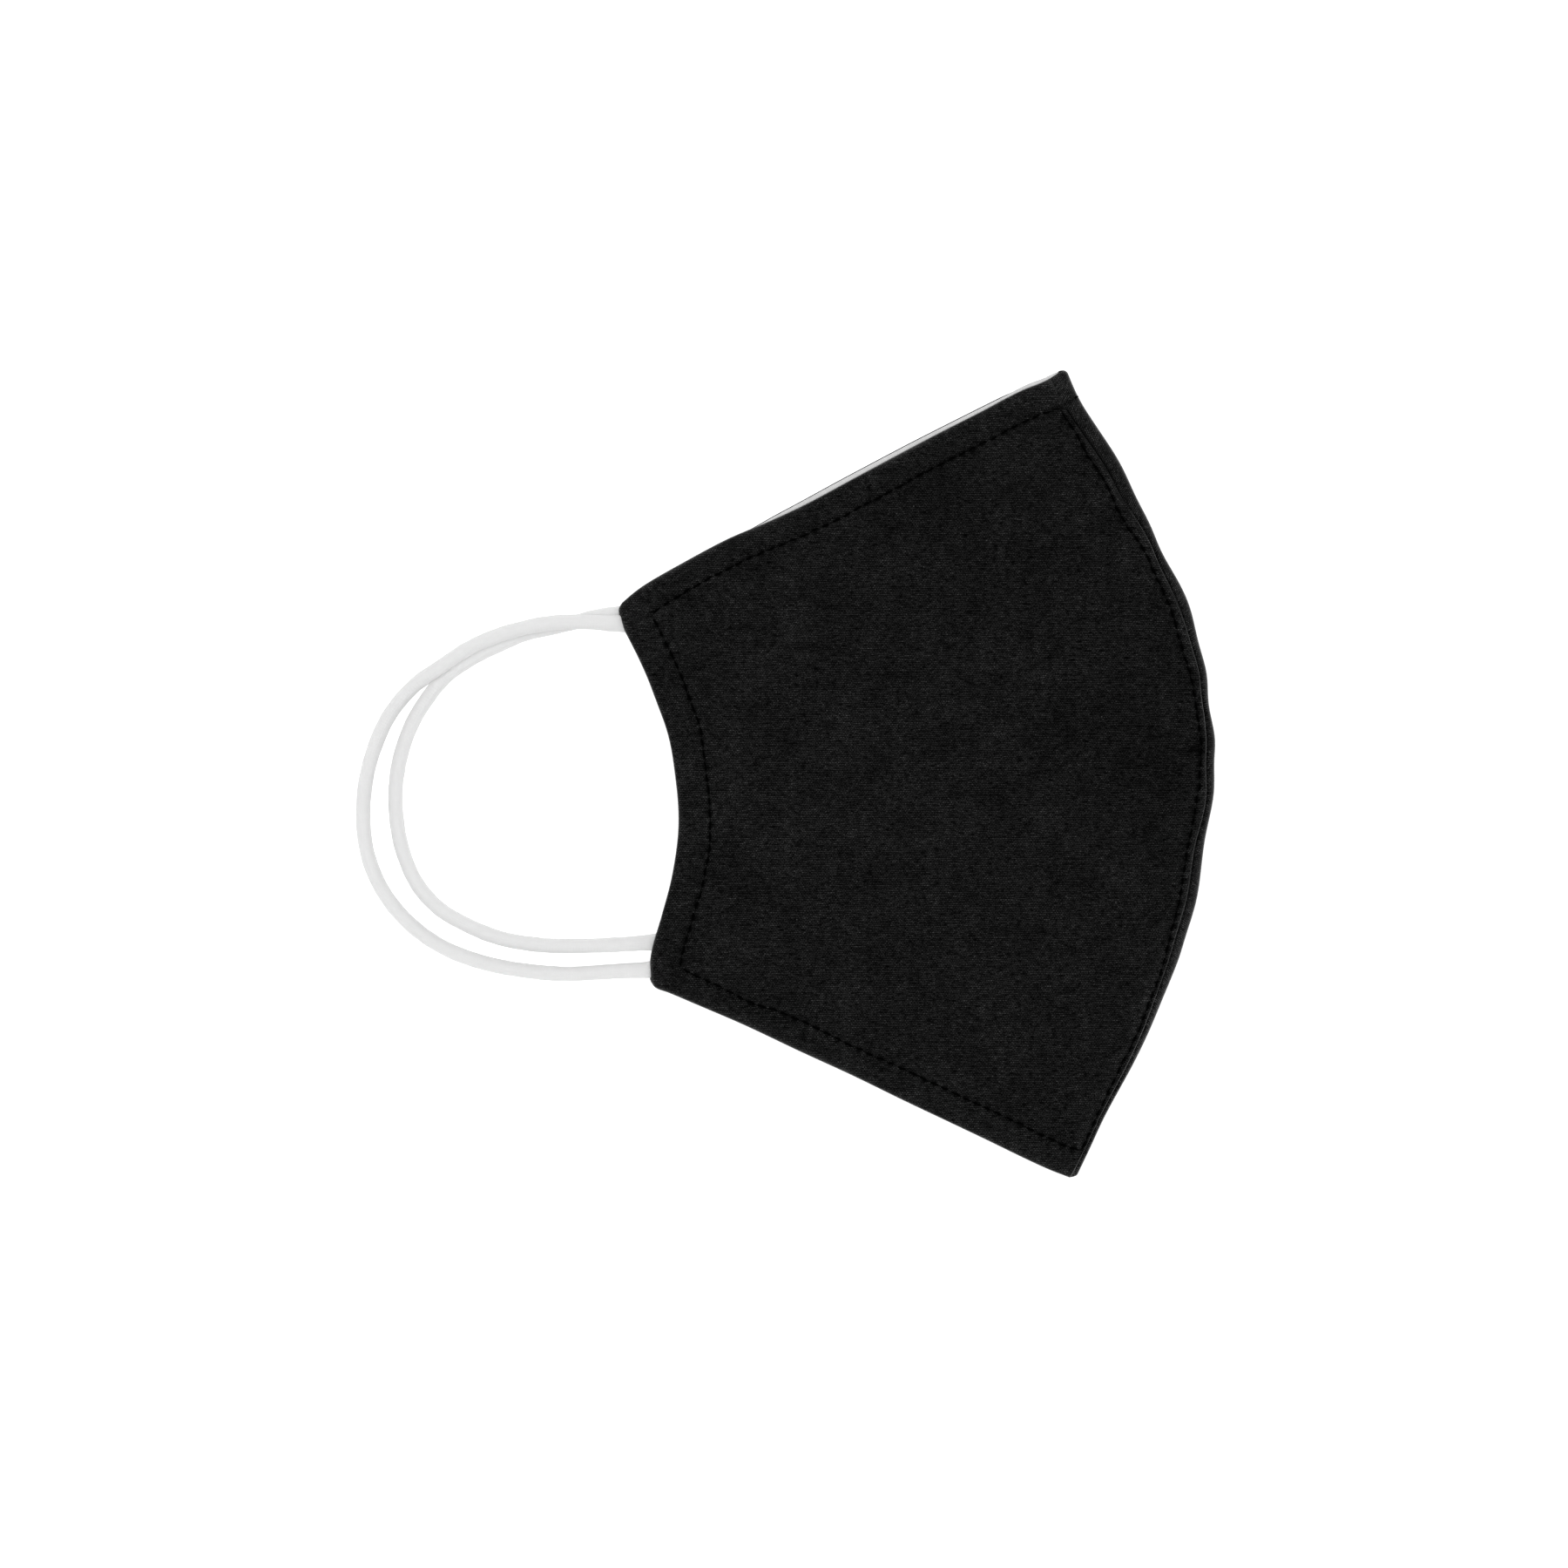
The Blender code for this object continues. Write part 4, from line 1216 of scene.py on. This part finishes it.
def painted_light_and_stitch_marks(face, v, distance, inset, lengths, seam_painted_light):
    """Marks for the material: the painted light and shade of the cloth, 1 being its middle, the distance
    beside the nearest stitch line in millimetres, and the length along that line in stitches."""
    shape = face.shape[:2]
    shade, nearest_line, along = np.ones(shape), np.full(shape, FAR_AWAY), np.zeros(shape)
    for side in lengths:
        beside = (distance[side] - inset[side]) / MM
        if side == "seam":
            # Painted highlight on the band between the seam and its stitches; towards the chin a band inside
            # the stitches is lighter too
            shade *= 1 + seam_painted_light * (1 - smooth_step(beside, -0.9, -0.1))
            shade *= 1 + 0.5 * np.exp(-(((beside - 1.0) / 0.9) ** 2)) * (1 - smooth_step(v, 0.25, 0.32))
        else:
            # Painted highlight along each rolled hem, brightest at the edge
            at_edge, inside_edge = (np.exp(-distance[side] / reach) for reach in (0.55 * MM, 2.5 * MM))
            shade *= 1 + 0.9 * at_edge + 0.25 * inside_edge
        valid = np.minimum.reduce([distance[other] - inset[other] for other in STOPS_AT[side]]) > -0.2 * MM
        closer = valid & (np.abs(beside) < np.abs(nearest_line))
        nearest_line = np.where(closer, beside, nearest_line)
        along = np.where(closer, lengths[side] / STITCH_PITCH, along)
    # Painted shade in the ditch beside the centre seam, fading out close to the peak
    in_ditch = (1 - smooth_step(v, *NEAR_PEAK)) * np.exp(-((distance["seam"] / DITCH_WIDTH) ** 2))
    shade *= 1 - DITCH_PAINTED_SHADE * in_ditch
    x, y = np.moveaxis(face - MIDDLE, -1, 0)[:2] / MM
    # Patches of painted light and shade
    for x_patch, y_patch, radius, change in PAINTED_LIGHT_AND_SHADE_PATCHES:
        shade *= 1 + change * np.exp(-((x - x_patch) ** 2 + (y - y_patch) ** 2) / radius**2)
    return {"shade": shade, "beside_stitches": nearest_line, "along_stitches": along}


# %% [markdown]
# ## The piece itself
#
# The grid has closer lines near its edges, where the cloth rolls over. The face, its relief and its marks
# are worked out on it, and then the sheet is closed.

# %% Near shell
SHELL_THICKNESS = 0.9 * MM
HEM_ROLL = 1.15 * MM
SEAM_ROLL = 0.55 * MM
HEM_LIP = 0.25 * MM
LINES_ACROSS = 160
LINES_ALONG = 232
# Painted highlight on the near half's band beside the centre seam
NEAR_SEAM_PAINTED_LIGHT = 0.65


def grid_shares(rows, columns):
    """Shares across and along a half, with closer lines near its edges."""
    return np.meshgrid(packed_lines(rows, HALF_WIDTH), packed_lines(columns, HALF_HEIGHT), indexing="ij")


u, v = grid_shares(LINES_ACROSS, LINES_ALONG)
near_face = near_top(u, v)
NEAR_SIDES = ("nose", "ear", "chin", "seam")
_, near_distance, _ = measure_grid(near_face)
near_inset = stitch_insets(u, v)
near_lengths = stitch_lengths(near_face, near_distance, near_inset, NEAR_SIDES)
near_relief = shell_relief(near_face, near_distance, near_inset, near_lengths, seed=3)
near_relief += creases_and_humps(near_face, near_distance)
near_marks = painted_light_and_stitch_marks(near_face, v, near_distance, near_inset, near_lengths, NEAR_SEAM_PAINTED_LIGHT)
points, faces, pattern, near_outer = sewn_sheet(
    near_face, 1, near_relief, near_face[..., :2],
    SHELL_THICKNESS, HEM_ROLL, SEAM_ROLL, math.pi / 2, 0.0, HEM_LIP,
)
marks = {name: over_sheet(values) for name, values in near_marks.items()}
shell_near = add_piece("jersey_shell_near", points, faces, jersey, pattern, marks)
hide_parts("shell_near")

# %% [markdown]
# ## The far half's shell
#
# The lower half lies flat on the surface with its outer face down. At the centre seam it turns up round the
# rim, a half circle of small radius, and on top it runs in to the seam. The grid follows the cloth's own
# path: flat, then round, then flat again, and the pattern is unrolled along the same path, so the knit
# turns over the rim as it does on the real mask.

# %% Face of the far half
ARC_LINES = 26
ARC_PACKING = 1.35  # the lines come closer towards the seam
SEAM_GAP = 0.16 * MM
STRIP_STRETCH_AND_PAINTED_LIGHT = (
    # along from the chin, how much lighter the strip round the rim is: stretched knit, and painted light
    # where it curves away
    (0.00, 3.0), (0.10, 3.9), (0.22, 3.8), (0.30, 2.5), (0.70, 2.0), (0.85, 1.4), (1.00, 1.3),
)


def far_shell_face(u_lines, v_lines):
    """Outer face of the far shell and its unrolled pattern: the flat plan, then the rim's radius times the
    angle along the arc, then straight in over the top."""
    u, v = np.meshgrid(u_lines, v_lines, indexing="ij")
    plan = patch(u, v, far_ear, far_seam, far_nose, far_chin)
    flat = np.concatenate([plan, np.zeros_like(u)[..., None]], axis=-1)
    shown = seam_strip(v_lines) - SEAM_GAP * (1 - 2 * smooth_step(v_lines, *NEAR_PEAK))
    half_turn = math.pi * RIM_RADIUS
    on_arc = RIM_RADIUS * (math.pi / 2 + np.arccos(np.clip(1 - shown / RIM_RADIUS, 0, 1)))
    path_end = np.where(shown < RIM_RADIUS, on_arc, half_turn + shown - RIM_RADIUS)
    share = 1 - (1 - np.linspace(0, 1, ARC_LINES)[1:]) ** ARC_PACKING
    path = share[:, None] * path_end
    turn = np.minimum(path, half_turn) / RIM_RADIUS - math.pi / 2
    out = RIM_RADIUS * np.cos(turn) - RIM_RADIUS - np.maximum(path - half_turn, 0)
    height = RIM_RADIUS + RIM_RADIUS * np.sin(turn)
    ways = rim_outward(v_lines)
    turned = np.concatenate([rim(v_lines) + out[..., None] * ways, height[..., None]], axis=-1)
    unrolled = far_seam(v_lines) + path[..., None] * ways
    return np.concatenate([flat, turned]), np.concatenate([plan, unrolled])


# %% Far shell
FLOOR_PRESS = 0.8  # share of the hollows in the relief that the floor leaves, and it leaves no bumps
FAR_LIP = 0.3 * MM
FAR_ACROSS, FAR_ALONG = 120, 190
# Painted highlight at the rim, where the cloth turns away
RIM_PAINTED_HIGHLIGHT, RIM_HIGHLIGHT_REACH = 0.6, 0.5  # extra light at the rim, and how many millimetres it reaches

far_u, far_v = packed_lines(FAR_ACROSS, HALF_WIDTH), packed_lines(FAR_ALONG, HALF_HEIGHT)
far_face, far_pattern = far_shell_face(far_u, far_v)
u, v = np.meshgrid(np.concatenate([far_u, np.ones(ARC_LINES - 1)]), far_v, indexing="ij")
FAR_SIDES = ("nose", "ear", "chin")
_, far_distance, _ = measure_grid(far_face)
far_inset = stitch_insets(u, v)
far_lengths = stitch_lengths(far_face, far_distance, far_inset, FAR_SIDES)
far_relief = shell_relief(far_face, far_distance, far_inset, far_lengths, seed=8)
far_marks = painted_light_and_stitch_marks(far_face, v, far_distance, far_inset, far_lengths, 0.0)
# The strip round the rim is lighter: stretched knit, and a painted highlight that is brightest at the rim
from_rim = np.linalg.norm(far_face[len(far_u) :, :, :2] - rim(far_v), axis=-1) / MM
rim_painted_highlight = RIM_PAINTED_HIGHLIGHT * np.exp(-from_rim / RIM_HIGHLIGHT_REACH)
far_marks["shade"][len(far_u) :] *= read_table(STRIP_STRETCH_AND_PAINTED_LIGHT, far_v) + rim_painted_highlight
far_relief = np.minimum(far_relief, 0.0) * FLOOR_PRESS
far_relief[len(far_u) :] = 0.0
points, faces, pattern, far_outer = sewn_sheet(
    far_face, -1, far_relief, far_pattern, SHELL_THICKNESS, HEM_ROLL, SEAM_ROLL, 0.0, 0.0, FAR_LIP
)
marks = {name: over_sheet(values) for name, values in far_marks.items()}
shell_far = add_piece("jersey_shell_far", points, faces, jersey, pattern, marks)
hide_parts("shell_far")

# %% [markdown]
# ## The two linings
#
# Each lining lies inside its shell. The far one comes out to the edge of the nose hem, where its upper face
# rolls down to meet the shell, and shows as the pale line above the near half. The near one starts inside
# the shell's turned edge and faces down into the fold.

# %% Linings
LINING_THICKNESS = 0.95 * MM
LINING_ROLL = 1.08 * MM
LINING_LEVEL = 2.3 * MM  # height of the far lining's upper face
LINING_DEPTH = 1.3 * MM  # depth of the near lining's outer face under the shell's
EDGE_SHOWS = 0.07 * MM  # far shell that shows as a dark line outside its lining
SEAM_ALLOWANCE = 1.0 * MM
PEAK_OUT = 1.9 * MM  # how much further the far lining comes out at the peak
LINING_LIP = 0.02 * MM
LINING_LINES = (100, 150)


def lining_grid(hem_tuck, seam_tuck):
    """Grid of a lining as shares of its half, tucked in from the hems by a length and from the seam by a
    function of the place along it."""
    u, v = grid_shares(*LINING_LINES)
    height = np.linalg.norm(near_nose(u) - near_chin(u), axis=-1)
    v = (hem_tuck + v * (height - hem_tuck - hem_tuck)) / height
    width = np.linalg.norm(near_seam(v) - near_ear(v), axis=-1)
    u = (hem_tuck + u * (width - hem_tuck - seam_tuck(v))) / width
    return u, v


def far_seam_tuck(v):
    """An allowance short of the seam, and out past it close to the peak."""
    return SEAM_ALLOWANCE - PEAK_OUT * smooth_step(v, 0.955, 0.985)


def near_seam_tuck(v):
    """An allowance short of the place where the cloth starts to turn down round the rim."""
    return RIM_RADIUS + SEAM_ALLOWANCE - np.minimum(seam_strip(v), RIM_RADIUS)


def lining_sheet(face, outward):
    """A lining as a closed sheet with the same roll on all sides."""
    return sewn_sheet(
        face, outward, np.zeros(face.shape[:2]), face[..., :2],
        LINING_THICKNESS, LINING_ROLL, LINING_ROLL, 0.0, 0.0, LINING_LIP,
    )[:3]


u, v = lining_grid(EDGE_SHOWS, far_seam_tuck)
plan = patch(u, v, far_ear, far_seam, lining_nose, far_chin)
far_lining_face = np.concatenate([plan, np.full_like(u, LINING_LEVEL)[..., None]], axis=-1)
points, faces, pattern = lining_sheet(far_lining_face, 1)
lining_far = add_piece("cotton_lining_far", points, faces, cotton, pattern)
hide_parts("lining_far")

u, v = lining_grid(HEM_ROLL + HEM_LIP + 0.1 * MM, near_seam_tuck)
near_lining_top = near_top(u, v)
upward, _, _ = measure_grid(near_lining_top)
near_lining_face = near_lining_top - (LINING_DEPTH + LINING_THICKNESS) * upward
points, faces, pattern = lining_sheet(near_lining_face, -1)
lining_near = add_piece("cotton_lining_near", points, faces, cotton, pattern)
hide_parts("lining_near")

# %% [markdown]
# ## The four sheets of cloth
#
# Each half was cut to the plan of its flat pattern.


# %% [markdown]
# ## Topstitching
#
# A lockstitch in black thread holds the turned hems flat and the seam allowances down. From above it reads
# as short dashes, darker than the cloth, that sit in the groove they pull. Each stitch is a thick arch of
# thread whose ends dive into the needle holes. One small arch is worked out once, and whole arrays carry it
# to every place along the stitch lines, which are read from the finished face of the shell.

# %% Thread
STITCH_LENGTH = 1.5 * MM
THREAD_RADIUS = 0.175 * MM
STITCH_SINK = 0.05 * MM
STITCH_ARCH = 0.16 * MM
THREAD_SIDES = 6
TWIST_PITCH = 0.16  # millimetres
STATIONS = (-1.0, -0.88, -0.5, 0.0, 0.5, 0.88, 1.0)  # places along a stitch, from its middle
GIRTHS = (0.45, 0.8, 1.0, 1.05, 1.0, 0.8, 0.45)  # radius there, as shares of the thread's

# How much the stitches vary
PLACE_SPREAD = 0.09 * MM
SHIFT_SPREAD = 0.07 * MM
SLANT, SLANT_SPREAD = 0.05, 0.08
LENGTH_SPREAD = 0.12

thread, tree, shader = new_finish("black_thread", 0.8, 0.01)
round_thread, _ = split_xy(tree, pattern_in_mm(tree, turn=0.6))
twist = wave(tree, round_thread, TWIST_PITCH)
colour_by(tree, shader, math_node(tree, "MULTIPLY_ADD", twist, 0.5, 0.5), [(0.0, 0.0002), (1.0, 0.0012)])
add_bump(tree, shader, twist, 0.03 * MM)

# %% [markdown]
# A sewer's stitches vary: their places, lengths and slants are drawn from seeded dice, so they are the same
# on each run. Each arch follows the line's own curve, so that no stitch leaves its groove.

# %% Stitches
def stitch_arches(line, normals, along, kept, seed):
    """One arch of thread after another along a line, at half past each whole stitch length: their points, as
    stitches by stations along a stitch by sides round the thread."""
    dice = np.random.default_rng(seed)
    centres = np.arange(0.5, along[kept].max() / STITCH_PITCH - 0.35) * STITCH_PITCH
    centres = centres + dice.normal(0, PLACE_SPREAD, len(centres))

    def at(values, where):
        """Values of the line at lengths along it."""
        return np.stack([np.interp(where, along, values[:, k]) for k in range(3)], axis=-1)

    up = unit(at(normals, centres))
    ahead = unit(at(line, centres + 0.6 * MM) - at(line, centres - 0.6 * MM))
    beside = unit(np.cross(up, ahead))
    skew = dice.normal(SLANT, SLANT_SPREAD, len(centres))
    shift = dice.normal(0, SHIFT_SPREAD, len(centres))
    station = np.array(STATIONS)
    girth = THREAD_RADIUS * np.array(GIRTHS)
    rise = STITCH_ARCH * (1 - station**2) - STITCH_SINK
    half = STITCH_LENGTH / 2 * (1 + dice.normal(0, LENGTH_SPREAD, len(centres)))
    turn = np.linspace(0, 2 * np.pi, THREAD_SIDES, endpoint=False)
    forward = half[:, None] * station
    aside = shift[:, None] + skew[:, None] * forward
    path = at(line, centres[:, None] + forward) + aside[..., None] * beside[:, None]
    path = path + rise[:, None] * up[:, None]
    ring = np.cos(turn)[:, None] * beside[:, None, None] + np.sin(turn)[:, None] * up[:, None, None]
    return path[:, :, None] + girth[:, None, None] * ring


def add_topstitching(name, outer, outward, distance, inset, lengths):
    """All the stitches of one shell as one piece, on its finished outer face."""
    upward, _, _ = measure_grid(outer)
    arches = []
    for seed, side in enumerate(lengths):
        line, normals, _, kept = stitch_line(outer, outward * upward, distance, inset, side)
        along = lengths[side][:, 0] if side in HEMS else lengths[side][0]
        arches.append(stitch_arches(line, normals, along, kept, seed))
    arches = np.concatenate(arches)
    under_floor = np.maximum(-arches[..., 2].min(axis=(1, 2)), 0)
    arches[..., 2] += under_floor[:, None, None]  # the floor presses them in
    count, stations, sides = arches.shape[:3]
    one = tube_quads(stations, sides)
    faces = (one[None] + (np.arange(count) * stations * sides)[:, None, None]).reshape(-1, 4)
    around, along = np.linspace(0, 2 * np.pi * THREAD_RADIUS, sides), np.linspace(0, STITCH_LENGTH, stations)
    pattern = np.stack(np.meshgrid(along, around, indexing="ij"), axis=-1)[..., ::-1]
    pattern = np.broadcast_to(pattern, (count, stations, sides, 2)).reshape(-1, 2)
    print(count, "stitches")
    add_piece(name, arches.reshape(-1, 3) - MIDDLE, faces, thread, pattern)


add_topstitching("topstitching_near", near_outer, 1, near_distance, near_inset, near_lengths)
add_topstitching("topstitching_far", far_outer, -1, far_distance, far_inset, far_lengths)
